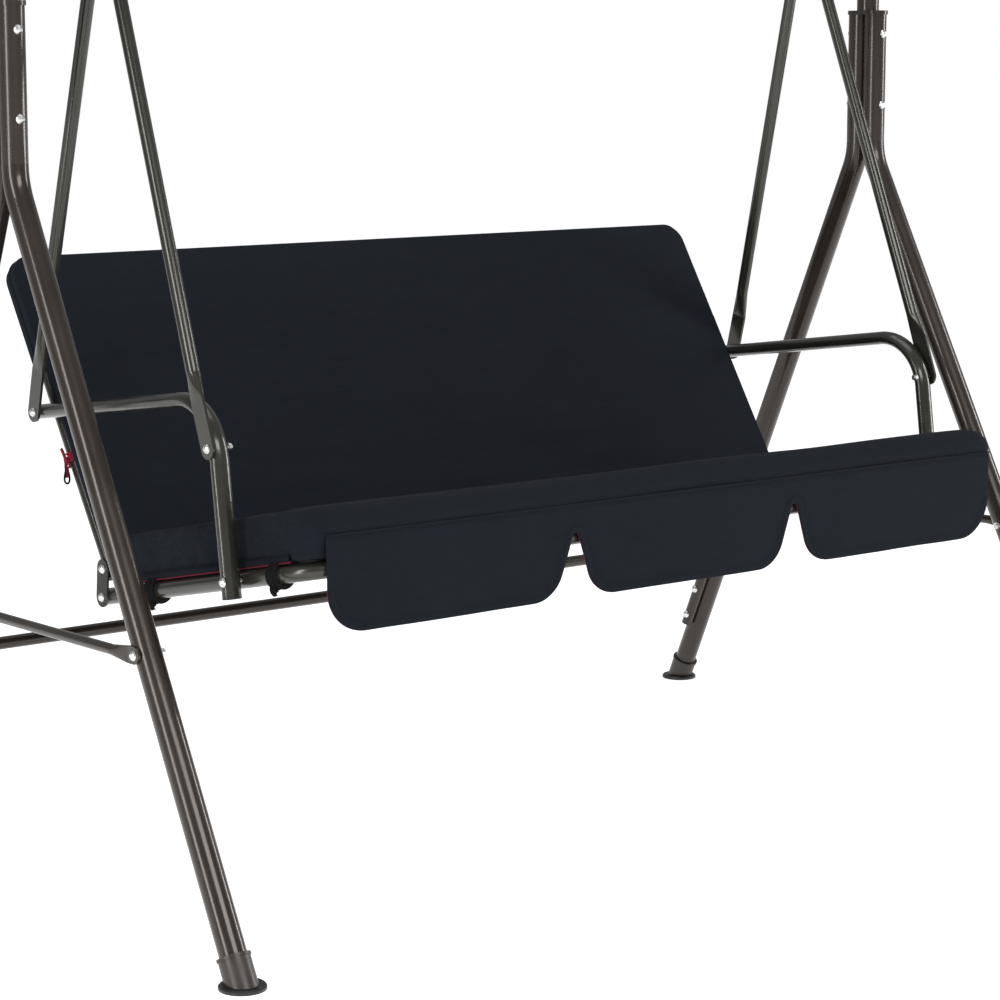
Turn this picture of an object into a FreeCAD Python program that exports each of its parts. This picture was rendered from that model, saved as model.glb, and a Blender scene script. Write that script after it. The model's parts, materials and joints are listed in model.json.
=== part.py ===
import FreeCAD, Part
import math
import os
import re

import Sketcher
from FreeCAD import Placement, Rotation, Vector

# A free-standing garden swing seat: a stand of bent tubes, and a padded bench
# hung from its top beam by four tubes. Millimetres, +X along the bench, the
# front faces -Y, +Z up. The origin is on the ground, midway between the feet.

SIZES = {
    # stand
    "leg_dia": 38,
    "leg_wall": 1.5,
    "stand_half": 845,
    "beam_y": 46,
    "leg_top": 1261,
    "leg_bend": 1017,
    "leg_radius": 110,
    "front_reach": 546,
    "back_reach": 454,
    "leg_lift": 18,
    "spigot_wall": 2,
    "spigot_gap": 0.2,
    "spigot_drop": 185,
    "collar_rise": 7,
    "collar_rim": 2,
    "beam_high": 1472,
    "beam_radius": 100,
    "joiner_half": 130,
    "joiner_bolt": 90,
    # feet
    "sleeve_dia": 44,
    "sleeve_high": 44,
    "sleeve_lip": 1.5,
    "sole_dia": 64,
    "sole_high": 6,
    # braces
    "brace_dia": 15,
    "brace_front_high": 406,
    "brace_back_high": 396,
    "rear_bar_dia": 20,
    "rear_bar_high": 287,
    "rear_bar_foot": 122,
    "rear_bar_radius": 40,
    "rear_bolt_upper": 190,
    "rear_bolt_lower": 138,
    # fasteners
    "bolt_dia": 6,
    "bolt_gap": 0.2,
    "head_dia": 14,
    "head_high": 5,
    "nut_wide": 10,
    "nut_high": 5,
    "top_bolt_upper": 1228,
    "top_bolt_lower": 1106,
    # pivots
    "pivot_x": 688,
    "pivot_high": 1421,
    "pivot_dia": 8,
    "pivot_gap": 0.05,
    "bush_dia": 13,
    "bush_long": 20,
    "ear_gap": 21,
    "ear_thick": 4,
    "ear_wide": 34,
    # hangers
    "hanger_dia": 20,
    "tab_thick": 4,
    "tab_blend": 42,
    "brace_tab_wide": 24,
    "brace_tab_long": 14,
    "hanger_tab_wide": 30,
    "hanger_tab_long": 66,
    "tab_x": 709.7,
    "front_bolt_y": -290.5,
    "front_bolt_z": 663.5,
    "back_bolt_y": 188.1,
    "back_bolt_z": 666.7,
    # armrests
    "arm_x": 693,
    "arm_wide": 29,
    "arm_deep": 22,
    "arm_wall": 1.5,
    "arm_tilt": 8,
    "post_y": -319,
    "post_z": 460.5,
    "post_high": 274.7,
    "arm_long": 489,
    "arm_radius": 85,
    # seat frame, measured from the crease where seat and back meet
    "crease_y": 50,
    "crease_z": 489,
    "seat_tilt": 12.1,
    "rail_dia": 25,
    "rail_wall": 1.5,
    "rail_half": 666,
    "rail_deep": 84,
    "rail_front": 507,
    "rail_back": 33,
    "rail_radius": 58,
    "middle_bar": 260,
    "back_bar": 40,
    # backrest frame
    "recline": 32.5,
    "back_dia": 22,
    "back_wall": 1.5,
    "back_half": 666,
    "back_deep": 21,
    "back_foot": 52,
    "back_top": 458,
    "back_radius": 60,
    "stay_dia": 16,
    "stay_high": 120,
    "bracket_thick": 3,
    "bracket_wide": 30,
    # soft goods
    "pad_half": 672,
    "pad_front": 538,
    "pad_thick": 68.9,
    "pad_round": 33,
    "pad_gap": 0.6,
    "back_pad_half": 681,
    "back_pad_high": 478,
    "back_pad_thick": 36,
    "back_front_layer": 8,
    "back_skirt": 30,
    "hood_deep": 190,
    "hood_round": 34,
    "tube_clear": 0.4,
    "sling_thick": 2,
    "valance_half": 648,
    "valance_top": 562,
    "valance_low": 425,
    "valance_thick": 6,
    "notch_half": 216,
    "notch_top": 517,
    "notch_narrow": 7,
    "notch_wide": 36,
    "lobe_round": 52,
    "strap_wide": 16,
    "strap_thick": 1.6,
    "tie_high": 131,
    "loop_dia": 3,
}

doc = FreeCAD.newDocument("PorchSwingSeat")
sheet = doc.addObject("Spreadsheet::Sheet", "Sizes")
for row, (alias, amount) in enumerate(SIZES.items(), start=1):
    sheet.set(f"A{row}", alias)
    sheet.set(f"B{row}", str(amount))
    sheet.setAlias(f"B{row}", alias)
doc.recompute()

gauge = doc.addObject("App::FeaturePython", "Gauge")
gauge.addProperty("App::PropertyFloat", "Reading")

nodes = {}


# ---------------------------------------------------------------- helpers

def linked(text):
    """Turn the plain size names in a formula into references to the sheet."""
    return re.sub(r"[a-z]\w+", lambda hit: "Sizes." + hit[0] if hit[0] in SIZES else hit[0], text)


def worth(text):
    """The number that a formula of sizes comes to."""
    gauge.setExpression("Reading", linked(str(text)))
    gauge.recompute()
    return gauge.Reading


def bind(thing, **formulas):
    """Bind properties of an object to formulas of sizes."""
    for name, text in formulas.items():
        thing.setExpression(name, linked(str(text)))
    return thing


def place(thing, x=0, y=0, z=0, turn=None):
    """Give an object its turn and bind its place to the sheet."""
    thing.Placement = Placement(Vector(), turn or Rotation())
    for axis, text in zip("xyz", (x, y, z)):
        thing.setExpression("Placement.Base." + axis, linked(str(text)))
    return thing


def keep(name, thing):
    """Name a finished sub-part."""
    thing.Label = name
    nodes[name] = thing
    return thing


def about_x(angle):
    """A turn about X, in degrees."""
    return Rotation(Vector(1, 0, 0), angle)


def about_y(angle):
    """A turn about Y, in degrees."""
    return Rotation(Vector(0, 1, 0), angle)


def about_z(angle):
    """A turn about Z, in degrees."""
    return Rotation(Vector(0, 0, 1), angle)


def new_body(name):
    """An empty body, for sketches and the features made from them."""
    return doc.addObject("PartDesign::Body", name)


def new_sketch(body, name, role="XY_Plane", lift=0):
    """A sketch on one of the body's own origin planes, lifted off it by a formula."""
    plane = [item for item in body.Origin.OriginFeatures if item.Role == role][0]
    sketch = body.newObject("Sketcher::SketchObject", name)
    sketch.AttachmentSupport = [(plane, "")]
    sketch.MapMode = "FlatFace"
    sketch.setExpression("AttachmentOffset.Base.z", linked(str(lift)))
    return sketch


def rule(sketch, kind, *where, is_=None):
    """Add a constraint, bound to a formula when it has one."""
    if is_ is None:
        return sketch.addConstraint(Sketcher.Constraint(kind, *where))
    index = sketch.addConstraint(Sketcher.Constraint(kind, *where, worth(is_)))
    sketch.setExpression(f"Constraints[{index}]", linked(str(is_)))
    return index


def circle(sketch, diameter, across=0, up=0):
    """A circle held by its centre and diameter."""
    centre = Vector(worth(across), worth(up), 0)
    ring = sketch.addGeometry(Part.Circle(centre, Vector(0, 0, 1), worth(diameter) / 2), False)
    rule(sketch, "DistanceX", -1, 1, ring, 3, is_=across)
    rule(sketch, "DistanceY", -1, 1, ring, 3, is_=up)
    rule(sketch, "Diameter", ring, is_=diameter)


def oval(sketch, width, depth):
    """An ellipse about the sketch's origin, its longer axis across."""
    shape = Part.Ellipse(Vector(0, 0, 0), worth(width) / 2, worth(depth) / 2)
    ring = sketch.addGeometry(shape, False)
    sketch.exposeInternalGeometry(ring)
    rule(sketch, "Coincident", ring, 3, -1, 1)
    rule(sketch, "Horizontal", ring + 1)
    rule(sketch, "Distance", ring + 1, 1, ring + 1, 2, is_=width)
    rule(sketch, "Distance", ring + 2, 1, ring + 2, 2, is_=depth)


def stadium(sketch, long, wide, across=0, up=0):
    """A slot outline with round ends, its long side along the sketch's first axis."""
    cx, cy = worth(across), worth(up)
    half = (worth(long) - worth(wide)) / 2
    radius = worth(wide) / 2
    corners = [Vector(cx + sx * half, cy + sy * radius, 0) for sx, sy in ((-1, -1), (1, -1), (1, 1), (-1, 1))]
    low = sketch.addGeometry(Part.LineSegment(corners[0], corners[1]), False)
    right = sketch.addGeometry(
        Part.Arc(corners[1], Vector(cx + half + radius, cy, 0), corners[2]), False)
    high = sketch.addGeometry(Part.LineSegment(corners[2], corners[3]), False)
    left = sketch.addGeometry(
        Part.Arc(corners[3], Vector(cx - half - radius, cy, 0), corners[0]), False)
    rule(sketch, "Tangent", low, 2, right, 1)
    rule(sketch, "Tangent", right, 2, high, 1)
    rule(sketch, "Tangent", high, 2, left, 1)
    rule(sketch, "Tangent", left, 2, low, 1)
    rule(sketch, "Horizontal", low)
    rule(sketch, "Radius", right, is_=f"({wide}) / 2")
    rule(sketch, "DistanceX", -1, 1, right, 3, is_=f"({across}) + (({long}) - ({wide})) / 2")
    rule(sketch, "DistanceX", -1, 1, left, 3, is_=f"({across}) - (({long}) - ({wide})) / 2")
    rule(sketch, "DistanceY", -1, 1, right, 3, is_=up)


def box_outline(sketch, left, right, low, high):
    """A rectangle held by its four sides."""
    x0, x1, y0, y1 = worth(left), worth(right), worth(low), worth(high)
    corners = [Vector(x0, y0, 0), Vector(x1, y0, 0), Vector(x1, y1, 0), Vector(x0, y1, 0)]
    for start, end in zip(corners, corners[1:] + corners[:1]):
        sketch.addGeometry(Part.LineSegment(start, end), False)
    for side in range(4):
        rule(sketch, "Coincident", side, 2, (side + 1) % 4, 1)
    rule(sketch, "Horizontal", 0)
    rule(sketch, "Vertical", 1)
    rule(sketch, "Horizontal", 2)
    rule(sketch, "Vertical", 3)
    rule(sketch, "DistanceX", -1, 1, 0, 1, is_=left)
    rule(sketch, "DistanceY", -1, 1, 0, 1, is_=low)
    rule(sketch, "DistanceX", -1, 1, 2, 1, is_=right)
    rule(sketch, "DistanceY", -1, 1, 2, 1, is_=high)


def outline(sketch, corners):
    """A closed outline of straight sides through corners given as formulas."""
    spots = [Vector(worth(u), worth(v), 0) for u, v in corners]
    for start, end in zip(spots, spots[1:] + spots[:1]):
        sketch.addGeometry(Part.LineSegment(start, end), False)
    for side, (u, v) in enumerate(corners):
        rule(sketch, "Coincident", side, 2, (side + 1) % len(corners), 1)
        rule(sketch, "DistanceX", -1, 1, side, 1, is_=u)
        rule(sketch, "DistanceY", -1, 1, side, 1, is_=v)


def route(sketch, corners, radius):
    """Straight runs between corners given as formulas, each corner rounded by a tangent arc."""
    spots = [Vector(worth(u), worth(v), 0) for u, v in corners]
    bend = worth(radius)
    runs, arcs = [], []
    begin = spots[0]
    for before, corner, after in zip(spots, spots[1:], spots[2:]):
        into = (corner - before).normalize()
        out = (after - corner).normalize()
        half_turn = into.getAngle(out) / 2
        setback = bend * math.tan(half_turn)
        start, end = corner - into * setback, corner + out * setback
        inward = (out - into).normalize()
        middle = corner + inward * (bend / math.cos(half_turn) - bend)
        runs.append(sketch.addGeometry(Part.LineSegment(begin, start), False))
        left_turn = into.cross(out).z > 0
        arc = sketch.addGeometry(Part.Arc(start, middle, end), False)
        arcs.append((arc, 1 if left_turn else 2, 2 if left_turn else 1))
        begin = end
    runs.append(sketch.addGeometry(Part.LineSegment(begin, spots[-1]), False))
    rule(sketch, "DistanceX", -1, 1, runs[0], 1, is_=corners[0][0])
    rule(sketch, "DistanceY", -1, 1, runs[0], 1, is_=corners[0][1])
    rule(sketch, "DistanceX", -1, 1, runs[-1], 2, is_=corners[-1][0])
    rule(sketch, "DistanceY", -1, 1, runs[-1], 2, is_=corners[-1][1])
    for index, (arc, first, last) in enumerate(arcs):
        rule(sketch, "Tangent", runs[index], 2, arc, first)
        rule(sketch, "Tangent", arc, last, runs[index + 1], 1)
        rule(sketch, "Radius", arc, is_=radius)
        mark = sketch.addGeometry(Part.Point(spots[index + 1]), True)
        rule(sketch, "PointOnObject", mark, 1, runs[index])
        rule(sketch, "PointOnObject", mark, 1, runs[index + 1])
        rule(sketch, "DistanceX", -1, 1, mark, 1, is_=corners[index + 1][0])
        rule(sketch, "DistanceY", -1, 1, mark, 1, is_=corners[index + 1][1])


def pad(body, sketch, length, both=False, back=False):
    """Raise a sketch by a length: off its plane, to both sides of it, or backwards."""
    feature = body.newObject("PartDesign::Pad", body.Name + "Pad")
    feature.Profile = sketch
    feature.setExpression("Length", linked(str(length)))
    feature.Midplane = both
    feature.Reversed = back
    return feature


def sweep(body, profile, spine):
    """Carry a profile along a route."""
    feature = body.newObject("PartDesign::AdditivePipe", body.Name + "Pipe")
    feature.Profile = profile
    feature.Spine = (spine, [])
    return feature


def straight_tube(name, outer, wall, length):
    """A tube along its own +Z, starting at its origin."""
    body = new_body(name)
    ring = new_sketch(body, name + "Ring")
    circle(ring, outer)
    circle(ring, f"({outer}) - 2 * ({wall})")
    pad(body, ring, length)
    return body


def bent_tube(name, outer, wall, corners, radius, flat="YZ_Plane"):
    """A tube bent in one of its own planes; the first run starts along its own Z."""
    body = new_body(name)
    spine = new_sketch(body, name + "Route", flat)
    route(spine, corners, radius)
    ring = new_sketch(body, name + "Ring", lift=corners[0][1])
    circle(ring, outer, across=corners[0][0] if flat == "XZ_Plane" else 0)
    if wall is not None:
        circle(ring, f"({outer}) - 2 * ({wall})", across=corners[0][0] if flat == "XZ_Plane" else 0)
    sweep(body, ring, spine)
    return body


def rod(name, dia, length):
    """A plain cylinder along its own +Z, starting at its origin."""
    cylinder = doc.addObject("Part::Cylinder", name)
    bind(cylinder, Radius=f"({dia}) / 2", Height=length)
    return cylinder


def cut(name, base, tools):
    """Take tools away from a base."""
    tool = tools[0]
    if len(tools) > 1:
        tool = doc.addObject("Part::Compound", name + "Tools")
        tool.Links = tools
    result = doc.addObject("Part::Cut", name)
    result.Base = base
    result.Tool = tool
    return result


def join(name, shapes):
    """Weld shapes into one solid."""
    result = doc.addObject("Part::MultiFuse", name)
    result.Shapes = shapes
    result.Refine = True
    return result


def group(name, shapes):
    """Several separate solids as one sub-part."""
    result = doc.addObject("Part::Compound", name)
    result.Links = shapes
    return keep(name, result)


def another(original, name, x=0, y=0, z=0, turn=None):
    """The same piece again at another place."""
    copy = doc.addObject("App::Link", name)
    copy.LinkedObject = original
    return place(copy, x, y, z, turn)


def bore(name, dia, long, x, y, z, along="x"):
    """A drill centred on a place, along X or Y."""
    drill = rod(name, dia, long)
    reach = f"({long}) / 2"
    if along == "x":
        return place(drill, f"({x}) - {reach}", y, z, about_y(90))
    return place(drill, x, f"({y}) - {reach}", z, about_x(-90))


def edges_of(feature, wanted):
    """Names of the edges of a feature whose bounding box passes a test."""
    return [f"Edge{n}" for n, edge in enumerate(feature.Shape.Edges, start=1) if wanted(edge.BoundBox)]


# ---------------------------------------------------------------- fasteners

def carriage_bolt(name, grip):
    """A domed bolt along +Z: the head's flat at the origin, the nut past the grip."""
    body = new_body(name)
    shank = new_sketch(body, name + "Section", "XZ_Plane")
    outline(shank, [
        ("0", "0 - head_high"), ("head_dia * 0.22", "0 - head_high * 0.92"),
        ("head_dia * 0.4", "0 - head_high * 0.55"), ("head_dia / 2", "0 - 0.6"),
        ("head_dia / 2", "0"), ("bolt_dia / 2", "0"),
        ("bolt_dia / 2", f"({grip}) + nut_high + 2"), ("0", f"({grip}) + nut_high + 2"),
    ])
    turned = body.newObject("PartDesign::Revolution", name + "Turned")
    turned.Profile = shank
    turned.ReferenceAxis = (shank, ["V_Axis"])
    turned.Angle = 360
    nut = new_sketch(body, name + "Nut", lift=grip)
    circle(nut, "nut_wide * 1.12")
    pad(body, nut, "nut_high * 0.4")
    dome = new_sketch(body, name + "Dome", lift=f"({grip}) + nut_high * 0.4")
    circle(dome, "nut_wide")
    pad(body, dome, "nut_high * 0.6")
    return body


def bolt_group(name, grip, places):
    """Identical bolts through a grip; each place is x, y, z and the turn of the bolt's axis."""
    master = carriage_bolt(name + "_one", grip)
    copies = [another(master, f"{name}_{n}", *spot) for n, spot in enumerate(places)]
    return group(name, copies)


SIDES = {"left": -1, "right": 1}
TO_PLUS_X = about_y(90)
TO_MINUS_X = about_y(-90)
TO_PLUS_Y = about_x(-90)
DRILL = "bolt_dia + 2 * bolt_gap"


def side_turn(sign):
    """Heads on the outer side, shanks pointing inwards."""
    return TO_PLUS_X if sign < 0 else TO_MINUS_X


# ---------------------------------------------------------------- stand

FRONT_Y = "(beam_y - leg_dia / 2)"
BACK_Y = "(beam_y + leg_dia / 2)"


def front_line(high):
    """Y of a front leg's axis at a height below the bend."""
    return f"({FRONT_Y} - front_reach * (1 - ({high}) / leg_bend))"


def back_line(high):
    return f"({BACK_Y} + back_reach * (1 - ({high}) / leg_bend))"


FRONT_SPLAY = math.degrees(math.atan(worth("front_reach / leg_bend")))
BACK_SPLAY = math.degrees(math.atan(worth("back_reach / leg_bend")))


def leg(side, end):
    """A leg: upright at its top, then bent outwards down to its foot."""
    name = f"{side}_{end}_leg"
    sign = SIDES[side]
    toward, reach, top_y = (-1, "front_reach", FRONT_Y) if end == "front" else (1, "back_reach", BACK_Y)
    foot_run = f"{toward} * {reach} * (1 - leg_lift / leg_bend)"
    corners = [("0", "0"), ("0", "leg_bend - leg_top"), (foot_run, "leg_lift - leg_top")]
    tube = bent_tube(name + "_tube", "leg_dia", "leg_wall", corners, "leg_radius")
    place(tube, f"{sign} * stand_half", top_y, "leg_top")
    x = f"{sign} * stand_half"
    drills = [
        bore(f"{name}_drill_{n}", DRILL, "leg_dia * 1.4", x, top_y, high, along="y")
        for n, high in enumerate(("top_bolt_upper", "top_bolt_lower"))]
    line = front_line if end == "front" else back_line
    brace_high = "brace_front_high" if end == "front" else "brace_back_high"
    drills.append(bore(name + "_brace_drill", DRILL, "leg_dia * 1.4", x, line(brace_high), brace_high))
    if end == "back":
        drills += [
            bore(f"{name}_bar_drill_{n}", DRILL, "leg_dia * 1.4", x, line(high), high)
            for n, high in enumerate(("rear_bolt_upper", "rear_bolt_lower"))]
    return keep(name, cut(name, tube, drills))


for side in SIDES:
    leg(side, "front")
    leg(side, "back")


def top_tube(side):
    """Two spigots in the legs, a plate over them, and a tube bent over into half the beam."""
    name = f"{side}_top_tube"
    sign = SIDES[side]
    x = f"{sign} * stand_half"
    inner = "leg_dia - 2 * leg_wall - 2 * spigot_gap"
    spigots = []
    for end, y in (("front", FRONT_Y), ("back", BACK_Y)):
        spigot = straight_tube(f"{name}_{end}_spigot", inner, "spigot_wall", "spigot_drop + collar_rise")
        spigots.append(place(spigot, x, y, "leg_top - spigot_drop"))
    plate = new_body(name + "_plate")
    face = new_sketch(plate, name + "_plate_face")
    stadium(face, "2 * leg_dia + 2 * collar_rim", "leg_dia + 2 * collar_rim")
    pad(plate, face, "collar_rise")
    place(plate, x, "beam_y", "leg_top", about_z(90))
    corners = [("0", "0"), ("0", "beam_high - leg_top - collar_rise"),
               ("stand_half", "beam_high - leg_top - collar_rise")]
    arch = bent_tube(name + "_arch", "leg_dia", "leg_wall", corners, "beam_radius", flat="XZ_Plane")
    place(arch, x, "beam_y", "leg_top + collar_rise", about_z(0) if sign < 0 else about_z(180))
    whole = join(name + "_weld", [plate, arch] + spigots)
    drills = [
        bore(f"{name}_drill_{end}_{n}", DRILL, "leg_dia * 1.05", x, y, high, along="y")
        for end, y in (("front", FRONT_Y), ("back", BACK_Y))
        for n, high in enumerate(("top_bolt_upper", "top_bolt_lower"))]
    drills.append(bore(name + "_joint_drill", DRILL, "leg_dia * 1.4",
                       f"{sign} * joiner_bolt", "beam_y", "beam_high", along="y"))
    return keep(name, cut(name, whole, drills))


for side in SIDES:
    top_tube(side)

joiner_tube = straight_tube("joiner_tube", "leg_dia - 2 * leg_wall - 2 * spigot_gap", "spigot_wall",
                            "2 * joiner_half")
place(joiner_tube, "0 - joiner_half", "beam_y", "beam_high", about_y(90))
keep("beam_joiner", cut("beam_joiner", joiner_tube, [
    bore(f"joiner_drill_{side}", DRILL, "leg_dia * 1.4", f"{sign} * joiner_bolt", "beam_y",
         "beam_high", along="y")
    for side, sign in SIDES.items()]))
bolt_group("beam_joint_bolts", "leg_dia", [
    (f"{sign} * joiner_bolt", "beam_y - leg_dia / 2", "beam_high", TO_PLUS_Y)
    for sign in SIDES.values()])
bolt_group("leg_top_bolts", "2 * leg_dia", [
    (f"{sign} * stand_half", "beam_y - leg_dia", high, TO_PLUS_Y)
    for sign in SIDES.values() for high in ("top_bolt_upper", "top_bolt_lower")])


def foot(side, end):
    """A sleeve on the end of the leg, and the round sole it stands on."""
    sign = SIDES[side]
    line = front_line if end == "front" else back_line
    splay = -FRONT_SPLAY if end == "front" else BACK_SPLAY
    name = f"{side}_{end}_foot"
    sleeve = new_body(name + "_sleeve_body")
    wall = new_sketch(sleeve, name + "_wall")
    circle(wall, "sleeve_dia")
    pad(sleeve, wall, "2 * sleeve_high", both=True)
    lip = new_sketch(sleeve, name + "_lip", lift="sleeve_high - 4")
    circle(lip, "sleeve_dia + 2 * sleeve_lip")
    pad(sleeve, lip, "4")
    place(sleeve, f"{sign} * stand_half", line("0"), 0, about_x(splay))
    room = rod(name + "_room", "leg_dia + tube_clear / 2", "2 * sleeve_high")
    place(room, f"{sign} * stand_half", line("leg_lift"), "leg_lift", about_x(splay))
    ground = doc.addObject("Part::Box", name + "_ground")
    bind(ground, Length="3 * sole_dia", Width="3 * sole_dia", Height="3 * sole_dia")
    place(ground, f"{sign} * stand_half - 1.5 * sole_dia", f"{line('0')} - 1.5 * sole_dia",
          "sole_high - 3 * sole_dia")
    keep(name + "_sleeve", cut(name + "_sleeve", sleeve, [room, ground]))
    sole = new_body(name + "_sole")
    disc = new_sketch(sole, name + "_disc")
    circle(disc, "sole_dia")
    pad(sole, disc, "sole_high")
    doc.recompute()
    top = edges_of(sole.Tip, lambda box: box.ZMin > worth("sole_high") - 0.1)
    base = sole.Tip
    rim = sole.newObject("PartDesign::Chamfer", name + "_rim")
    rim.Base = (base, top)
    rim.Size = 2
    keep(name + "_sole", place(sole, f"{sign} * stand_half", line("0"), 0))


for side in SIDES:
    foot(side, "front")
    foot(side, "back")


def flat_ended_bar(name, dia, wide, flat, length, low_offset=0, high_offset=0):
    """A round bar along +Z whose two ends are pressed flat across X; both holes lie on the Z axis
    of the ends, length apart, and the flats may stand off to either side in X."""
    body = new_body(name)
    solid_low = new_sketch(body, name + "LowTab", "YZ_Plane", lift=f"({low_offset}) - tab_thick / 2")
    pressed_end(solid_low, "0", 1, wide, flat)
    pad(body, solid_low, "tab_thick")
    solid_high = new_sketch(body, name + "HighTab", "YZ_Plane", lift=f"({high_offset}) - tab_thick / 2")
    pressed_end(solid_high, length, -1, wide, flat)
    pad(body, solid_high, "tab_thick")
    rises = [flat, f"{flat} + tab_blend", f"({length}) - {flat} - tab_blend", f"({length}) - {flat}"]
    shares = [worth(rise) / worth(length) for rise in rises]
    offsets = [f"({low_offset}) + ({high_offset} - ({low_offset})) * {share:.6f}" for share in shares]
    offsets[0] = low_offset
    offsets[3] = high_offset
    stations = []
    for number, (rise, offset) in enumerate(zip(rises, offsets)):
        station = new_sketch(body, f"{name}Station{number}", lift=rise)
        if number in (0, 3):
            pressed_section(station, offset, wide)
        else:
            circle_in_quarters(station, dia, offset)
        stations.append(station)
    for low, high in zip(stations, stations[1:]):
        blend = body.newObject("PartDesign::AdditiveLoft", f"{low.Name}Loft")
        blend.Profile = low
        blend.Sections = [(high, [""])]
        blend.Ruled = True
    return body


def pressed_end(sketch, up, way, wide, flat):
    """The flat of a pressed end: square where it meets the bar, round about its hole."""
    half = worth(wide) / 2
    level = worth(up)
    joint = level + way * worth(flat)
    left, right = Vector(-half, level, 0), Vector(half, level, 0)
    side_right = sketch.addGeometry(Part.LineSegment(Vector(half, joint, 0), right), False)
    cap = sketch.addGeometry(Part.Arc(right, Vector(0, level - way * half, 0), left), False)
    side_left = sketch.addGeometry(Part.LineSegment(left, Vector(-half, joint, 0)), False)
    close = sketch.addGeometry(Part.LineSegment(Vector(-half, joint, 0), Vector(half, joint, 0)), False)
    first, last = (2, 1) if way > 0 else (1, 2)
    rule(sketch, "Tangent", side_right, 2, cap, first)
    rule(sketch, "Tangent", cap, last, side_left, 1)
    rule(sketch, "Coincident", side_left, 2, close, 1)
    rule(sketch, "Coincident", close, 2, side_right, 1)
    rule(sketch, "Vertical", side_right)
    rule(sketch, "Horizontal", close)
    rule(sketch, "DistanceX", -1, 1, cap, 3, is_="0")
    rule(sketch, "DistanceY", -1, 1, cap, 3, is_=up)
    rule(sketch, "Radius", cap, is_=f"{wide} / 2")
    rule(sketch, "DistanceY", -1, 1, close, 1, is_=f"({up}) + {way} * {flat}")


def pressed_section(sketch, offset, wide):
    """The section of a pressed end, four sides about an offset in X."""
    box_outline(sketch, f"({offset}) - tab_thick / 2", f"({offset}) + tab_thick / 2",
                f"0 - {wide} / 2", f"{wide} / 2")


def circle_in_quarters(sketch, dia, offset):
    """A circle in four arcs, one for each side of the pressed section it blends into."""
    centre, radius = worth(offset), worth(dia) / 2
    angles = [225, 315, 405, 495]

    def spot(angle):
        return Vector(centre + radius * math.cos(math.radians(angle)),
                      radius * math.sin(math.radians(angle)), 0)

    arcs = [sketch.addGeometry(Part.Arc(spot(a), spot(a + 45), spot(a + 90)), False) for a in angles]
    for here, there in zip(arcs, arcs[1:] + arcs[:1]):
        rule(sketch, "Coincident", here, 2, there, 1)
    for arc in arcs[1:]:
        rule(sketch, "Coincident", arcs[0], 3, arc, 3)
    rule(sketch, "DistanceX", -1, 1, arcs[0], 3, is_=offset)
    rule(sketch, "DistanceY", -1, 1, arcs[0], 3, is_="0")
    rule(sketch, "Radius", arcs[0], is_=f"({dia}) / 2")
    rule(sketch, "Horizontal", arcs[0], 1, arcs[0], 2)
    rule(sketch, "Vertical", arcs[1], 1, arcs[1], 2)
    rule(sketch, "Horizontal", arcs[2], 1, arcs[2], 2)


def between(low, high):
    """How far apart two places are in the YZ plane, and the turn about X from low up to high."""
    dy = f"(({high[0]}) - ({low[0]}))"
    dz = f"(({high[1]}) - ({low[1]}))"
    distance = f"sqrt({dy} * {dy} + {dz} * {dz})"
    return distance, about_x(-math.degrees(math.atan2(worth(dy), worth(dz))))


def flat_bar(name, sign, tab_x, dia, wide, flat, low, high, high_x, hole=DRILL, high_hole=DRILL):
    """A flat-ended bar between two bolts; its flats face X."""
    length, turn = between(low, high)
    offset = f"{sign} * (({high_x}) - ({tab_x}))"
    body = flat_ended_bar(name + "_body", dia, wide, flat, length, "0", offset)
    place(body, f"{sign} * ({tab_x})", low[0], low[1], turn)
    holes = [
        bore(name + "_low_hole", hole, "4 * tab_thick", f"{sign} * ({tab_x})", low[0], low[1]),
        bore(name + "_high_hole", high_hole, "4 * tab_thick", f"{sign} * ({high_x})", high[0], high[1])]
    return keep(name, cut(name, body, holes))


BRACE_X = "(stand_half + leg_dia / 2 + tab_thick / 2)"
for side, sign in SIDES.items():
    flat_bar(f"{side}_side_brace", sign, BRACE_X, "brace_dia", "brace_tab_wide", "brace_tab_long",
             (back_line("brace_back_high"), "brace_back_high"),
             (front_line("brace_front_high"), "brace_front_high"), BRACE_X)
bolt_group("side_brace_bolts", "leg_dia + tab_thick", [
    (f"{sign} * (stand_half + leg_dia / 2 + tab_thick)", line(high), high, side_turn(sign))
    for sign in SIDES.values()
    for line, high in ((front_line, "brace_front_high"), (back_line, "brace_back_high"))])


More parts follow.
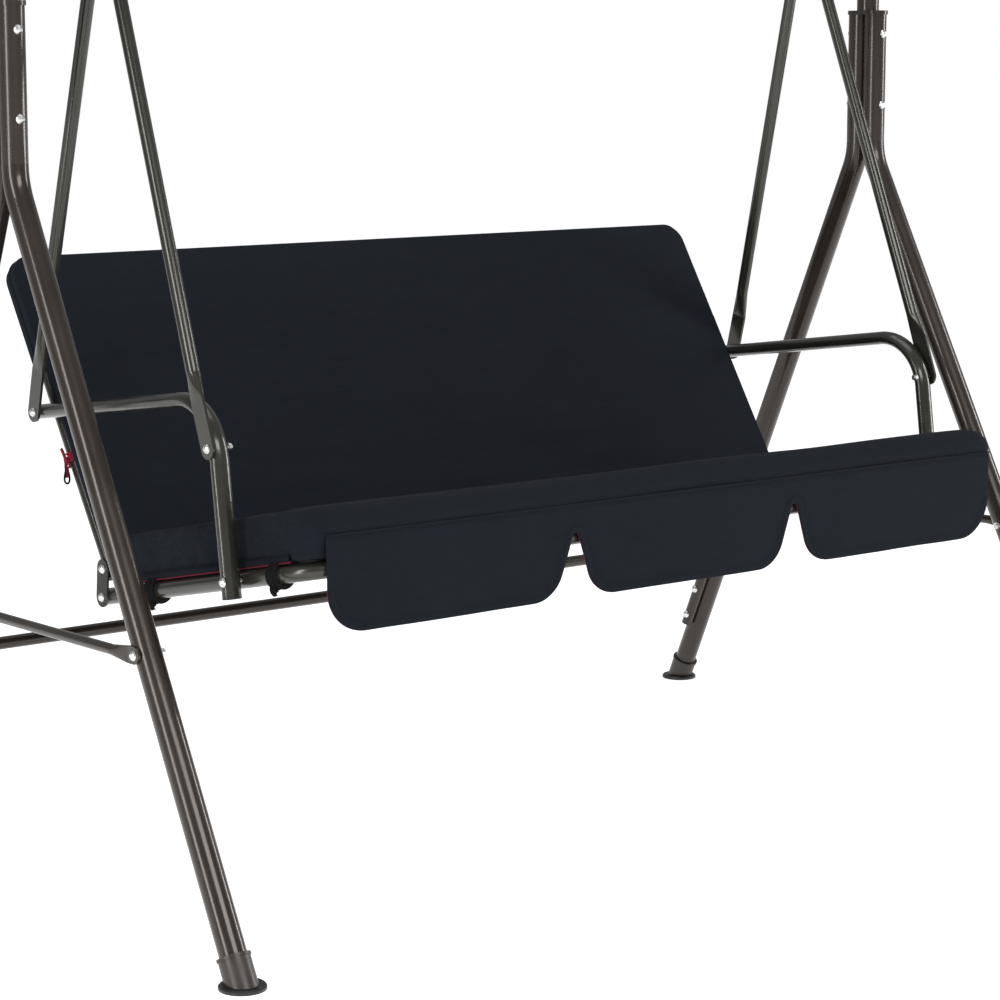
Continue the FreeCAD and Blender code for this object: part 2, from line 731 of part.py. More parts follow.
def rear_bar():
    """A long bar bent down at both ends, which lie along the inner sides of the back legs."""
    slope = f"{math.cos(math.radians(BACK_SPLAY)):.6f}"
    drop = f"((rear_bar_high - rear_bar_foot) / {slope})"
    half = "(stand_half - leg_dia / 2 - rear_bar_dia / 2)"
    corners = [(f"0 - {half}", f"0 - {drop}"), (f"0 - {half}", "0"), (half, "0"), (half, f"0 - {drop}")]
    bar = bent_tube("rear_bar_tube", "rear_bar_dia", "leg_wall", corners, "rear_bar_radius", "XZ_Plane")
    place(bar, 0, back_line("rear_bar_high"), "rear_bar_high", about_x(BACK_SPLAY))
    drills = [
        bore(f"rear_bar_drill_{side}_{n}", DRILL, "rear_bar_dia * 1.4",
             f"{sign} * {half}", back_line(high), high)
        for side, sign in SIDES.items() for n, high in enumerate(("rear_bolt_upper", "rear_bolt_lower"))]
    keep("rear_crossbar", cut("rear_crossbar", bar, drills))
    caps = []
    for side, sign in SIDES.items():
        cap = rod(f"rear_bar_cap_{side}", "rear_bar_dia", "3")
        lower = f"(rear_bar_foot - 3 * {slope})"
        caps.append(place(cap, f"{sign} * {half}", back_line(lower), lower, about_x(BACK_SPLAY)))
    group("crossbar_end_caps", caps)
    bolt_group("crossbar_bolts", "leg_dia + rear_bar_dia", [
        (f"{sign} * (stand_half - leg_dia / 2 - rear_bar_dia)", back_line(high), high, side_turn(-sign))
        for sign in SIDES.values() for high in ("rear_bolt_upper", "rear_bolt_lower")])


rear_bar()


# ---------------------------------------------------------------- pivots

def pivot_bracket(side):
    """Two ears and a bridge welded under the beam, with a hole for the pivot bolt."""
    sign = SIDES[side]
    name = f"{side}_pivot_bracket"
    ears = []
    for number, way in enumerate((-1, 1)):
        ear = new_body(f"{name}_ear_{number}")
        face = new_sketch(ear, f"{name}_face_{number}", "YZ_Plane")
        outline(face, [
            ("0 - ear_wide / 2", "0"), ("0 - ear_wide / 4", "0 - ear_wide / 2"),
            ("ear_wide / 4", "0 - ear_wide / 2"), ("ear_wide / 2", "0"),
            ("ear_wide / 2", "beam_high - pivot_high - 4"),
            ("0 - ear_wide / 2", "beam_high - pivot_high - 4")])
        pad(ear, face, "ear_thick", both=True)
        offset = f"{way} * (ear_gap + ear_thick) / 2"
        ears.append(place(ear, f"{sign} * pivot_x + {offset}", "beam_y", "pivot_high"))
    bridge = doc.addObject("Part::Box", name + "_bridge")
    bind(bridge, Length="ear_gap + 2 * ear_thick", Width="ear_wide", Height="ear_thick")
    place(bridge, f"{sign} * pivot_x - ear_gap / 2 - ear_thick", "beam_y - ear_wide / 2",
          "beam_high - leg_dia / 2 - ear_thick")
    whole = join(name + "_weld", ears + [bridge])
    beam = bore(name + "_beam", "leg_dia", "4 * ear_gap", f"{sign} * pivot_x", "beam_y", "beam_high")
    hole = bore(name + "_hole", "pivot_dia", "4 * ear_gap", f"{sign} * pivot_x", "beam_y", "pivot_high")
    keep(name, cut(name, whole, [beam, hole]))


def pivot_bolt(side):
    """Head, plain shank and lock nut; the bench swings on its bush."""
    sign = SIDES[side]
    name = f"{side}_pivot_bolt"
    half = "(ear_gap / 2 + ear_thick)"
    shank = bore(name + "_shank", "pivot_dia", f"2 * {half} + 12", f"{sign} * pivot_x", "beam_y",
                 "pivot_high")
    head = bore(name + "_head", "pivot_dia * 1.75", "6", f"{sign} * (pivot_x + {half[1:-1]} + 3)",
                "beam_y", "pivot_high")
    nut = bore(name + "_nut", "pivot_dia * 1.6", "7", f"{sign} * (pivot_x - ({half[1:-1]}) - 3.5)",
               "beam_y", "pivot_high")
    keep(name, join(name, [shank, head, nut]))


def pivot_bush(side):
    """A plain bush pressed through both hanger eyes."""
    sign = SIDES[side]
    name = f"{side}_pivot_bush"
    outer = bore(name + "_outer", "bush_dia", "bush_long", f"{sign} * pivot_x", "beam_y", "pivot_high")
    inner = bore(name + "_inner", "pivot_dia + 2 * pivot_gap", "2 * bush_long", f"{sign} * pivot_x",
                 "beam_y", "pivot_high")
    keep(name, cut(name, outer, [inner]))


for side in SIDES:
    pivot_bracket(side)
    pivot_bolt(side)
    pivot_bush(side)


# ---------------------------------------------------------------- bench frame

def bench_y(text):
    """Y of a place in the bench given from the beam's plane."""
    return f"(beam_y + {text})"


PIVOT = ("beam_y", "pivot_high")
FRONT_BOLT = (bench_y("front_bolt_y"), "front_bolt_z")
BACK_BOLT = (bench_y("back_bolt_y"), "back_bolt_z")
CREASE = (bench_y("crease_y"), "crease_z")
SEAT_TURN = about_x(-worth("seat_tilt"))
BACK_TURN = about_x(-worth("recline"))
ARM_TURN = about_x(-worth("arm_tilt"))


def sine(angle):
    """The sine of one of the sizes, as text for a formula."""
    return f"{math.sin(math.radians(worth(angle))):.7f}"


def cosine(angle):
    """The cosine of one of the sizes, as text for a formula."""
    return f"{math.cos(math.radians(worth(angle))):.7f}"


def on_seat(back, up):
    """World Y and Z of a place given along the seat, backwards from the crease, and above it."""
    return (f"({CREASE[0]} + ({back}) * {cosine('seat_tilt')} + ({up}) * {sine('seat_tilt')})",
            f"(crease_z - ({back}) * {sine('seat_tilt')} + ({up}) * {cosine('seat_tilt')})")


def on_back(behind, up):
    """World Y and Z of a place given behind the back's face and up along it from the crease."""
    return (f"({CREASE[0]} + ({behind}) * {cosine('recline')} + ({up}) * {sine('recline')})",
            f"(crease_z - ({behind}) * {sine('recline')} + ({up}) * {cosine('recline')})")


EYE = "bush_dia"
for side, sign in SIDES.items():
    flat_bar(f"{side}_front_hanger", sign, "tab_x", "hanger_dia", "hanger_tab_wide", "hanger_tab_long",
             FRONT_BOLT, PIVOT, "pivot_x + tab_thick / 2 + 0.2", high_hole=EYE)
    flat_bar(f"{side}_back_hanger", sign, "tab_x", "hanger_dia", "hanger_tab_wide", "hanger_tab_long",
             BACK_BOLT, PIVOT, "pivot_x - tab_thick / 2 - 0.2", high_hole=EYE)


def armrest(side):
    """An oval tube: a post up from the seat rail, a wide bend, and a run back past the backrest."""
    sign = SIDES[side]
    name = f"{side}_armrest"
    body = new_body(name + "_tube")
    spine = new_sketch(body, name + "_route", "YZ_Plane")
    route(spine, [("0", "0"), ("0", "post_high"), ("arm_long", "post_high")], "arm_radius")
    ring = new_sketch(body, name + "_ring")
    oval(ring, "arm_wide", "arm_deep")
    oval(ring, "arm_wide - 2 * arm_wall", "arm_deep - 2 * arm_wall")
    sweep(body, ring, spine)
    place(body, f"{sign} * arm_x", bench_y("post_y"), "post_z", ARM_TURN)
    drills = [
        bore(name + "_front_drill", DRILL, "2 * arm_wide", f"{sign} * arm_x", *FRONT_BOLT),
        bore(name + "_back_drill", DRILL, "2 * arm_wide", f"{sign} * arm_x", *BACK_BOLT),
        bore(name + "_post_drill", DRILL, "2 * arm_wide", f"{sign} * arm_x", *POST_BOLT)]
    return keep(name, cut(name, body, drills))


POST_BOLT = on_seat(f"(({bench_y('post_y')}) - ({CREASE[0]})) / {cosine('seat_tilt')} + 18", "0 - rail_deep")

for side in SIDES:
    armrest(side)


def seat_frame():
    """A U of tube: both side rails and the front rail, with wide corners."""
    corners = [("0 - rail_half", "0 - rail_back"), ("0 - rail_half", "rail_front"),
               ("rail_half", "rail_front"), ("rail_half", "0 - rail_back")]
    tube = bent_tube("seat_frame_tube", "rail_dia", "rail_wall", corners, "rail_radius", "XZ_Plane")
    # its own Z runs forwards along the seat
    turn = SEAT_TURN.multiply(about_x(90))
    place(tube, 0, *on_seat("0", "0 - rail_deep"), turn)
    drills = []
    for side, sign in SIDES.items():
        x = f"{sign} * rail_half"
        drills.append(bore(f"seat_frame_post_drill_{side}", DRILL, "rail_dia * 1.4", x, *POST_BOLT))
        drills.append(bore(f"seat_frame_back_drill_{side}", DRILL, "rail_dia * 1.4", x, *RAIL_BOLT))
    return keep("seat_frame", cut("seat_frame", tube, drills))


def cross_tube(name, behind):
    """A tube across the seat between the side rails."""
    tube = straight_tube(name + "_tube", "rail_dia", "rail_wall", "2 * (rail_half - rail_dia / 2 + 2)")
    place(tube, "0 - (rail_half - rail_dia / 2 + 2)", *on_seat(behind, "0 - rail_deep"), about_y(90))
    rails = []
    for side, sign in SIDES.items():
        rail = rod(f"{name}_{side}_rail", "rail_dia", "8 * rail_dia")
        start = on_seat(f"({behind}) - 4 * rail_dia", "0 - rail_deep")
        rails.append(place(rail, f"{sign} * rail_half", *start, SEAT_TURN.multiply(about_x(-90))))
    return keep(name, cut(name, tube, rails))


RAIL_BOLT = on_seat("rail_back - 14", "0 - rail_deep")
TUBE_BOLT = on_back("back_deep", "14 - back_foot")

seat_frame()
cross_tube("seat_back_tube", "0 - back_bar")
cross_tube("seat_middle_tube", "0 - middle_bar")


def backrest_frame():
    """An upside-down U of tube behind the back's face."""
    corners = [("0 - back_half", "0 - back_foot"), ("0 - back_half", "back_top"),
               ("back_half", "back_top"), ("back_half", "0 - back_foot")]
    tube = bent_tube("backrest_tube", "back_dia", "back_wall", corners, "back_radius", "XZ_Plane")
    place(tube, 0, *on_back("back_deep", "0"), BACK_TURN)
    drills = []
    for side, sign in SIDES.items():
        x = f"{sign} * back_half"
        drills.append(bore(f"backrest_arm_drill_{side}", DRILL, "back_dia * 1.4", x, *BACK_BOLT))
        drills.append(bore(f"backrest_foot_drill_{side}", DRILL, "back_dia * 1.4", x, *TUBE_BOLT))
    return keep("backrest_frame", cut("backrest_frame", tube, drills))


backrest_frame()


def backrest_stay():
    """A thinner tube across the backrest, low down."""
    tube = straight_tube("backrest_stay_tube", "stay_dia", "back_wall", "2 * (back_half - back_dia / 2 + 2)")
    place(tube, "0 - (back_half - back_dia / 2 + 2)", *on_back("back_deep", "stay_high"), about_y(90))
    posts = []
    for side, sign in SIDES.items():
        post = rod(f"stay_{side}_post", "back_dia", "8 * back_dia")
        start = on_back("back_deep", "stay_high - 4 * back_dia")
        posts.append(place(post, f"{sign} * back_half", *start, BACK_TURN))
    return keep("backrest_stay", cut("backrest_stay", tube, posts))


backrest_stay()


def back_bracket(side):
    """A plate that bolts the foot of the backrest tube to the rear end of the seat rail."""
    sign = SIDES[side]
    name = f"{side}_back_bracket"
    length, turn = between(RAIL_BOLT, TUBE_BOLT)
    plate = new_body(name + "_plate")
    face = new_sketch(plate, name + "_face", "YZ_Plane")
    slot_up(face, length)
    pad(plate, face, "bracket_thick", both=True)
    x = f"{sign} * (rail_half + rail_dia / 2 + bracket_thick / 2)"
    place(plate, x, *RAIL_BOLT, turn)
    drills = [bore(f"{name}_drill_{n}", DRILL, "4 * bracket_thick", x, *spot)
              for n, spot in enumerate((RAIL_BOLT, TUBE_BOLT))]
    return keep(name, cut(name, plate, drills))


def slot_up(sketch, length):
    """A plate outline with round ends about two holes, one above the other."""
    half, high = worth("bracket_wide") / 2, worth(length)
    right = sketch.addGeometry(Part.LineSegment(Vector(half, 0, 0), Vector(half, high, 0)), False)
    top = sketch.addGeometry(
        Part.Arc(Vector(half, high, 0), Vector(0, high + half, 0), Vector(-half, high, 0)), False)
    left = sketch.addGeometry(Part.LineSegment(Vector(-half, high, 0), Vector(-half, 0, 0)), False)
    low = sketch.addGeometry(Part.Arc(Vector(-half, 0, 0), Vector(0, -half, 0), Vector(half, 0, 0)), False)
    rule(sketch, "Tangent", right, 2, top, 1)
    rule(sketch, "Tangent", top, 2, left, 1)
    rule(sketch, "Tangent", left, 2, low, 1)
    rule(sketch, "Tangent", low, 2, right, 1)
    rule(sketch, "Vertical", right)
    rule(sketch, "Coincident", low, 3, -1, 1)
    rule(sketch, "Radius", low, is_="bracket_wide / 2")
    rule(sketch, "DistanceY", -1, 1, top, 3, is_=length)


for side in SIDES:
    back_bracket(side)
bolt_group("rail_bracket_bolts", "rail_dia + bracket_thick", [
    (f"{sign} * (rail_half + rail_dia / 2 + bracket_thick)", *RAIL_BOLT, side_turn(sign))
    for sign in SIDES.values()])
bolt_group("tube_bracket_bolts", "(rail_dia + back_dia) / 2 + bracket_thick", [
    (f"{sign} * (rail_half + rail_dia / 2 + bracket_thick)", *TUBE_BOLT, side_turn(sign))
    for sign in SIDES.values()])
bolt_group("front_hanger_bolts", "tab_x + tab_thick / 2 - arm_x + arm_wide / 2", [
    (f"{sign} * (tab_x + tab_thick / 2)", *FRONT_BOLT, side_turn(sign)) for sign in SIDES.values()])
bolt_group("back_hanger_bolts", "tab_x + tab_thick / 2 - back_half + back_dia / 2", [
    (f"{sign} * (tab_x + tab_thick / 2)", *BACK_BOLT, side_turn(sign)) for sign in SIDES.values()])
bolt_group("armrest_post_bolts", "arm_wide + rail_dia", [
    (f"{sign} * (arm_x + arm_wide / 2)", *POST_BOLT, side_turn(sign)) for sign in SIDES.values()])


def plugs(name, sketcher, thick, places):
    """Flat plastic plugs over tube ends."""
    made = []
    for number, spot in enumerate(places):
        plug = new_body(f"{name}_{number}")
        face = new_sketch(plug, f"{name}_{number}_face")
        sketcher(face)
        pad(plug, face, thick, back=True)
        made.append(place(plug, *spot))
    return group(name, made)


ARM_END_Y = f"(arm_long * {cosine('arm_tilt')} + post_high * {sine('arm_tilt')})"
ARM_END_Z = f"(post_high * {cosine('arm_tilt')} - arm_long * {sine('arm_tilt')})"
ARM_ENDS = [("0", "0", ARM_TURN), (ARM_END_Y, ARM_END_Z, ARM_TURN.multiply(about_x(90)))]
plugs("armrest_plugs", lambda face: oval(face, "arm_wide", "arm_deep"), "3", [
    (f"{sign} * arm_x", bench_y(f"(post_y + {y})"), f"post_z + {z}", turn)
    for sign in SIDES.values() for y, z, turn in ARM_ENDS])
plugs("backrest_foot_plugs", lambda face: circle(face, "back_dia"), "2", [
    (f"{sign} * back_half", *on_back("back_deep", "0 - back_foot"), BACK_TURN) for sign in SIDES.values()])
plugs("seat_rail_plugs", lambda face: circle(face, "rail_dia"), "3", [
    (f"{sign} * rail_half", *on_seat("rail_back", "0 - rail_deep"), SEAT_TURN.multiply(about_x(90)))
    for sign in SIDES.values()])


# ---------------------------------------------------------------- soft goods

def slab(name, x_half, y0, y1, z0, z1):
    """A block as wide as twice x_half, from y0 to y1 and from z0 to z1."""
    block = doc.addObject("Part::Box", name)
    bind(block, Length=f"2 * ({x_half})", Width=f"({y1}) - ({y0})", Height=f"({z1}) - ({z0})")
    return block


def seat_cushion():
    """The padded seat, rounded at its front, lying on the rails."""
    body = new_body("seat_cushion_body")
    side = new_sketch(body, "seat_cushion_side", "YZ_Plane")
    lean = worth("recline") + worth("seat_tilt")
    under = f"(pad_thick * {math.tan(math.radians(lean)):.6f})"
    upright = f"(pad_thick * {math.tan(math.radians(worth('seat_tilt'))):.6f})"
    outline(side, [("0 - pad_front", "0"), (f"{upright} - pad_front", "0 - pad_thick"),
                   (f"0 - pad_gap - {under}", "0 - pad_thick"), ("0 - pad_gap", "0")])
    pad(body, side, "2 * pad_half", both=True)
    doc.recompute()
    block = body.Tip
    face = 1 - worth("pad_front")
    front = edges_of(block, lambda box: box.YMax < face and box.XLength > 100 and box.ZMax > -1)
    rounded = body.newObject("PartDesign::Fillet", "seat_cushion_round")
    rounded.Base = (block, front)
    rounded.setExpression("Radius", linked("pad_round"))
    return keep("seat_cushion", place(body, 0, *CREASE, SEAT_TURN))


seat_cushion()


def back_cushion():
    """A thin padded face in front of the tubes and between the armrests, with a hood over the top of
    the backrest."""
    half = "arm_x - arm_wide / 2 - tube_clear"
    inside_hood = "back_pad_high - hood_deep + 10"
    face = slab("back_face", half, "0", "back_front_layer", "0 - back_skirt", inside_hood)
    place(face, f"0 - ({half})", *on_back("0", "0 - back_skirt"), BACK_TURN)
    inner = "back_half - back_dia / 2 - 2.4"
    infill = slab("back_infill", inner, "0", "back_deep - stay_dia / 2 - tube_clear", "0 - back_skirt",
                  inside_hood)
    place(infill, f"0 - ({inner})", *on_back("0", "0 - back_skirt"), BACK_TURN)
    hood = slab("back_hood", "back_pad_half", "0", "back_pad_thick", "back_pad_high - hood_deep",
                "back_pad_high")
    place(hood, "0 - back_pad_half", *on_back("0", "back_pad_high - hood_deep"), BACK_TURN)
    blank = join("back_blank", [face, infill, hood])
    doc.recompute()
    rounded = doc.addObject("Part::Fillet", "back_rounded")
    rounded.Base = blank
    rounded.Edges = [(n, worth("hood_round"), worth("hood_round"))
                     for n, edge in enumerate(blank.Shape.Edges, start=1) if top_corner(edge)]
    clear = "back_dia + 2 * tube_clear"
    corners = [("0 - back_half", "0 - back_foot"), ("0 - back_half", "back_top"),
               ("back_half", "back_top"), ("back_half", "0 - back_foot")]
    channel = bent_tube("back_channel", clear, None, corners, "back_radius", "XZ_Plane")
    place(channel, 0, *on_back("back_deep", "0"), BACK_TURN)
    return keep("back_cushion", cut("back_cushion", rounded, [channel]))


def top_corner(edge):
    """Whether an edge runs through the back at one of its two top corners."""
    ends = [vertex.Point for vertex in edge.Vertexes]
    if len(ends) != 2:
        return False
    outer = all(abs(abs(p.x) - worth("back_pad_half")) < 0.1 for p in ends)
    high = worth(on_back("back_pad_thick", "back_pad_high")[1]) - 1
    across = (ends[1] - ends[0]).normalize()
    return outer and min(p.z for p in ends) > high and abs(across.x) < 0.1


back_cushion()


def seat_sling():
    """A plain panel of support fabric stretched over the rails."""
    half = "rail_half - 8.5"
    panel = doc.addObject("Part::Box", "seat_sling_panel")
    bind(panel, Length=f"2 * ({half})", Width="rail_front - rail_back - 4", Height="sling_thick")
    place(panel, f"0 - ({half})", *on_seat("2 - rail_front", "0 - rail_deep + rail_dia / 2 + 0.2"), SEAT_TURN)
    keep("seat_sling", panel)


seat_sling()


def valance():
    """Three rounded lobes hanging from the front of the seat."""
    body = new_body("valance_body")
    face = new_sketch(body, "valance_face", "XZ_Plane")
    box_outline(face, "0 - valance_half", "valance_half", "valance_low", "valance_top")
    pad(body, face, "valance_thick", both=True)
    notches = new_sketch(body, "valance_notches", "XZ_Plane")
    for sign in (-1, 1):
        first = notches.GeometryCount
        middle = f"{sign} * notch_half"
        corners = [
            (f"{middle} - notch_wide", "valance_low - 1"), (f"{middle} + notch_wide", "valance_low - 1"),
            (f"{middle} + notch_narrow", "notch_top"), (f"{middle} - notch_narrow", "notch_top")]
        spots = [Vector(worth(u), worth(v), 0) for u, v in corners]
        for start, end in zip(spots, spots[1:] + spots[:1]):
            notches.addGeometry(Part.LineSegment(start, end), False)
        for number, (u, v) in enumerate(corners):
            rule(notches, "Coincident", first + number, 2, first + (number + 1) % 4, 1)
            rule(notches, "DistanceX", -1, 1, first + number, 1, is_=u)
            rule(notches, "DistanceY", -1, 1, first + number, 1, is_=v)
    slots = body.newObject("PartDesign::Pocket", "valance_slots")
    slots.Profile = notches
    slots.Type = 1
    slots.Midplane = True
    doc.recompute()
    low = worth("valance_low") + 1
    lobes = edges_of(slots, lambda box: box.ZMax < low and box.YLength > 1 and box.XLength < 1)
    rounded = body.newObject("PartDesign::Fillet", "valance_round")
    rounded.Base = (slots, lobes)
    rounded.setExpression("Radius", linked("lobe_round"))
    y = f"({on_seat('0 - pad_front', '0')[0]} - valance_thick / 2 - pad_gap)"
    return keep("seat_valance", place(body, 0, y, 0))


valance()


def straps(side):
    """Two webbing loops that hold the seat cover to a side rail."""
    sign = SIDES[side]
    loops = []
    for number, forward in enumerate(("118", "440")):
        ring = straight_tube(f"{side}_strap_{number}", "rail_dia + 2 * strap_thick + 0.4",
                             "strap_thick", "strap_wide")
        start = on_seat(f"0 - {forward}", "0 - rail_deep")
        loops.append(place(ring, f"{sign} * rail_half", *start, SEAT_TURN.multiply(about_x(-90))))
    return group(f"{side}_seat_straps", loops)


def tie(side):
    """A ribbon wound round the backrest tube, with its knot in front of it."""
    sign = SIDES[side]
    name = f"{side}_back_tie"
    ring = straight_tube(name + "_ring", "back_dia + 2 * strap_thick + 0.4", "strap_thick", "10")
    place(ring, f"{sign} * back_half", *on_back("back_deep", "tie_high"), BACK_TURN)
    knot = doc.addObject("Part::Sphere", name + "_knot")
    knot.Radius = 5.5
    place(knot, f"{sign} * (back_half + back_dia / 2 + 5.5)", *on_back("back_deep", "tie_high + 5"))
    core = rod(name + "_core", "back_dia + strap_thick + 0.4", "60")
    place(core, f"{sign} * back_half", *on_back("back_deep", "tie_high - 30"), BACK_TURN)
    return keep(name, join(name, [ring, cut(name + "_half_knot", knot, [core])]))


def tie_loop(side):
    """A small loop of cord that hangs from the knot of the ribbon."""
    sign = SIDES[side]
    name = f"{side}_tie_loop"
    spots = [Vector(*spot) for spot in LOOP]
    edges = []
    begin = spots[0]
    for before, corner, after in zip(spots, spots[1:], spots[2:]):
        into, out = (corner - before), (after - corner)
        shorter = min(into.Length, out.Length)
        half_turn = into.getAngle(out) / 2
        radius = 0.45 * shorter / math.tan(half_turn)
        print(f"{name}: turn {math.degrees(2 * half_turn):.0f} degrees, radius {radius:.1f}")
        into.normalize()
        out.normalize()
        start, end = corner - into * (0.45 * shorter), corner + out * (0.45 * shorter)
        inward = (out - into).normalize()
        middle = corner + inward * (radius / math.cos(half_turn) - radius)
        edges.append(Part.LineSegment(begin, start).toShape())
        edges.append(Part.Arc(start, middle, end).toShape())
        begin = end
    edges.append(Part.LineSegment(begin, spots[-1]).toShape())
    path = Part.Wire(edges)
    dia = worth("loop_dia")
    first = (spots[1] - spots[0]).normalize()
    disc = Part.Wire(Part.Circle(spots[0], first, dia / 2).toShape())
    solid = path.makePipeShell([disc], True, True)
    print(f"{name}: volume {solid.Volume:.1f}, section x length {math.pi * dia * dia / 4 * path.Length:.1f},"
          f" length {path.Length:.1f}")
    cord = doc.addObject("Part::Feature", name)
    if sign > 0:
        solid = solid.mirror(Vector(), Vector(1, 0, 0))
    cord.Shape = solid
    knot = on_back("back_deep", "tie_high + 5")
    place(cord, f"{sign} * (back_half + back_dia / 2 + 8)", knot[0], f"{knot[1]} - 4.2")
    return keep(name, cord)


# The loop's route, from under the knot: down, round and up again beside itself.
LOOP = [(0, 0, 0), (-1, -1, -6), (-3.5, -2, -13), (-5, -3, -21), (-1.5, -4, -26.5), (4, -3, -24),
        (5, -1.5, -16), (3.5, -0.5, -8), (3, 1, -1)]

for side in SIDES:
    straps(side)
    tie(side)
    tie_loop(side)


# ---------------------------------------------------------------- check and write

doc.recompute()
faults = [f"{thing.Label}: {thing.State}" for thing in doc.Objects
          if {"Invalid", "Error"} & set(thing.State)]
for name, thing in nodes.items():
    if thing.Shape.isNull() or not thing.Shape.isValid() or not thing.Shape.Solids:
        faults.append(f"{name}: bad shape")
if faults:
    raise RuntimeError("\n".join(faults))

os.makedirs("parts", exist_ok=True)
for name, thing in nodes.items():
    thing.Shape.exportStep(f"parts/{name}.step")
    print(f"{name:28s} solids {len(thing.Shape.Solids)}  volume {thing.Shape.Volume / 1000:9.1f} cm3")
print(len(nodes), "nodes")
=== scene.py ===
import json
import math

import bmesh
import bpy
import numpy as np
from mathutils import Matrix, Vector, noise


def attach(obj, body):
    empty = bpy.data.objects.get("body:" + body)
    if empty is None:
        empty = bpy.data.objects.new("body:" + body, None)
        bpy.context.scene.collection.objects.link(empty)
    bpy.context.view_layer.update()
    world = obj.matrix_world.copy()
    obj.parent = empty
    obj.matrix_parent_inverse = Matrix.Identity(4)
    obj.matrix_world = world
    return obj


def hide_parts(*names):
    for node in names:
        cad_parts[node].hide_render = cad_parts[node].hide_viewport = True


# A garden swing seat: a stand of bent tube, and hung from its beam a bench under a dark cover.
# Metres, +X along the bench, the front faces -Y, +Z up, the ground at Z = 0.

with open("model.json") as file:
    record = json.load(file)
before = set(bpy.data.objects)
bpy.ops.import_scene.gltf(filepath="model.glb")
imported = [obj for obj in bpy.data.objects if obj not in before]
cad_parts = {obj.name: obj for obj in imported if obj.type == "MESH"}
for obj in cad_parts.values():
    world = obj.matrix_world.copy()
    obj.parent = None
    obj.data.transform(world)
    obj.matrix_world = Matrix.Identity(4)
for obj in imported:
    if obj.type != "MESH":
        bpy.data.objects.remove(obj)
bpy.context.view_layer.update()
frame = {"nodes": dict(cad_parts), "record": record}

BEAM_Y = 0.046
CREASE = Vector((0, BEAM_Y + 0.050, 0.489))  # where the seat meets the back
SEAT_TILT = math.radians(12.1)
RECLINE = math.radians(32.5)
SIDES = {"left": -1, "right": 1}

# Directions: forward along the seat and square to it, up the back and behind it, and level to the
# front.
TO_FRONT = Vector((0, -math.cos(SEAT_TILT), math.sin(SEAT_TILT)))
OVER_SEAT = Vector((0, math.sin(SEAT_TILT), math.cos(SEAT_TILT)))
UP_BACK = Vector((0, math.sin(RECLINE), math.cos(RECLINE)))
INTO_BACK = Vector((0, math.cos(RECLINE), -math.sin(RECLINE)))
FRONT = Vector((0, -1, 0))


def on_seat(x, forward, up):
    """A point from its place across the bench, forward along the seat, and above it."""
    return Vector((x, 0, 0)) + CREASE + forward * TO_FRONT + up * OVER_SEAT


def on_back(x, behind, up):
    """A point from its place across the bench, behind the back's face, and up along it."""
    return Vector((x, 0, 0)) + CREASE + behind * INTO_BACK + up * UP_BACK


def heights(points, lean):
    """How far an array's points lie from the crease, measured up a line that leans back so much."""
    return (points[:, 1] - CREASE.y) * math.sin(lean) + (points[:, 2] - CREASE.z) * math.cos(lean)


def clamp(value):
    """A value kept between 0 and 1."""
    return max(0.0, min(1.0, value))


# ---------------------------------------------------------------- camera and studio

LENS = 102.86
EYE = (-2.7918, -3.5133, 1.2003)
EYE_TURN = (math.radians(81.048), 0, math.radians(-38.384))

WHITE = (1, 1, 1, 1)
AMBIENT = (0.36, 0.37, 0.38, 1)

# Each softbox: its place, what it faces, its width and height, and its watts.
SOFTBOXES = {
    "left_box": ((-4.6, -0.9, 1.5), (0, 0, 0.8), 0.9, 3.0, 80),
    "right_box": ((4.6, -2.0, 1.5), (0, 0, 0.8), 0.7, 3.0, 96),
    "front_box": ((-1.2, -5.2, 3.4), (0, 0, 0.5), 3.0, 1.6, 118),
    "top_box": ((0, 0.3, 5.0), (0, 0, 0.5), 3.5, 3.5, 72)}


def camera():
    data = bpy.data.cameras.new("camera")
    data.lens = LENS
    data.sensor_width = 36
    data.clip_start, data.clip_end = 0.1, 200
    eye = bpy.data.objects.new("camera", data)
    eye.location = EYE
    eye.rotation_euler = EYE_TURN
    bpy.context.scene.collection.objects.link(eye)
    bpy.context.scene.camera = eye


def softbox(name, place, target, width, height, power):
    light = bpy.data.lights.new(name, "AREA")
    light.shape = "RECTANGLE"
    light.size, light.size_y = width, height
    light.energy = power
    lamp = bpy.data.objects.new(name, light)
    lamp.location = place
    lamp.rotation_euler = (Vector(target) - Vector(place)).to_track_quat("-Z", "Y").to_euler()
    bpy.context.scene.collection.objects.link(lamp)


def studio():
    """White all round to the eye, dimmer as light, so that the dark tubes keep their contrast."""
    scene = bpy.context.scene
    scene.view_settings.view_transform = "Standard"
    world = bpy.data.worlds.new("studio")
    world.use_nodes = True
    tree = world.node_tree
    dim = tree.nodes["Background"]
    dim.inputs["Color"].default_value = AMBIENT
    white = tree.nodes.new("ShaderNodeBackground")
    white.inputs["Color"].default_value = WHITE
    rays = tree.nodes.new("ShaderNodeLightPath")
    either = tree.nodes.new("ShaderNodeMixShader")
    tree.links.new(rays.outputs["Is Camera Ray"], either.inputs[0])
    tree.links.new(dim.outputs[0], either.inputs[1])
    tree.links.new(white.outputs[0], either.inputs[2])
    tree.links.new(either.outputs[0], tree.nodes["World Output"].inputs["Surface"])
    scene.world = world
    for name, box in SOFTBOXES.items():
        softbox(name, *box)


# ---------------------------------------------------------------- materials

BAND_SPACING = 0.314  # of Blender's wave texture at a scale of 1
DUST = (0.13, 0.115, 0.1)


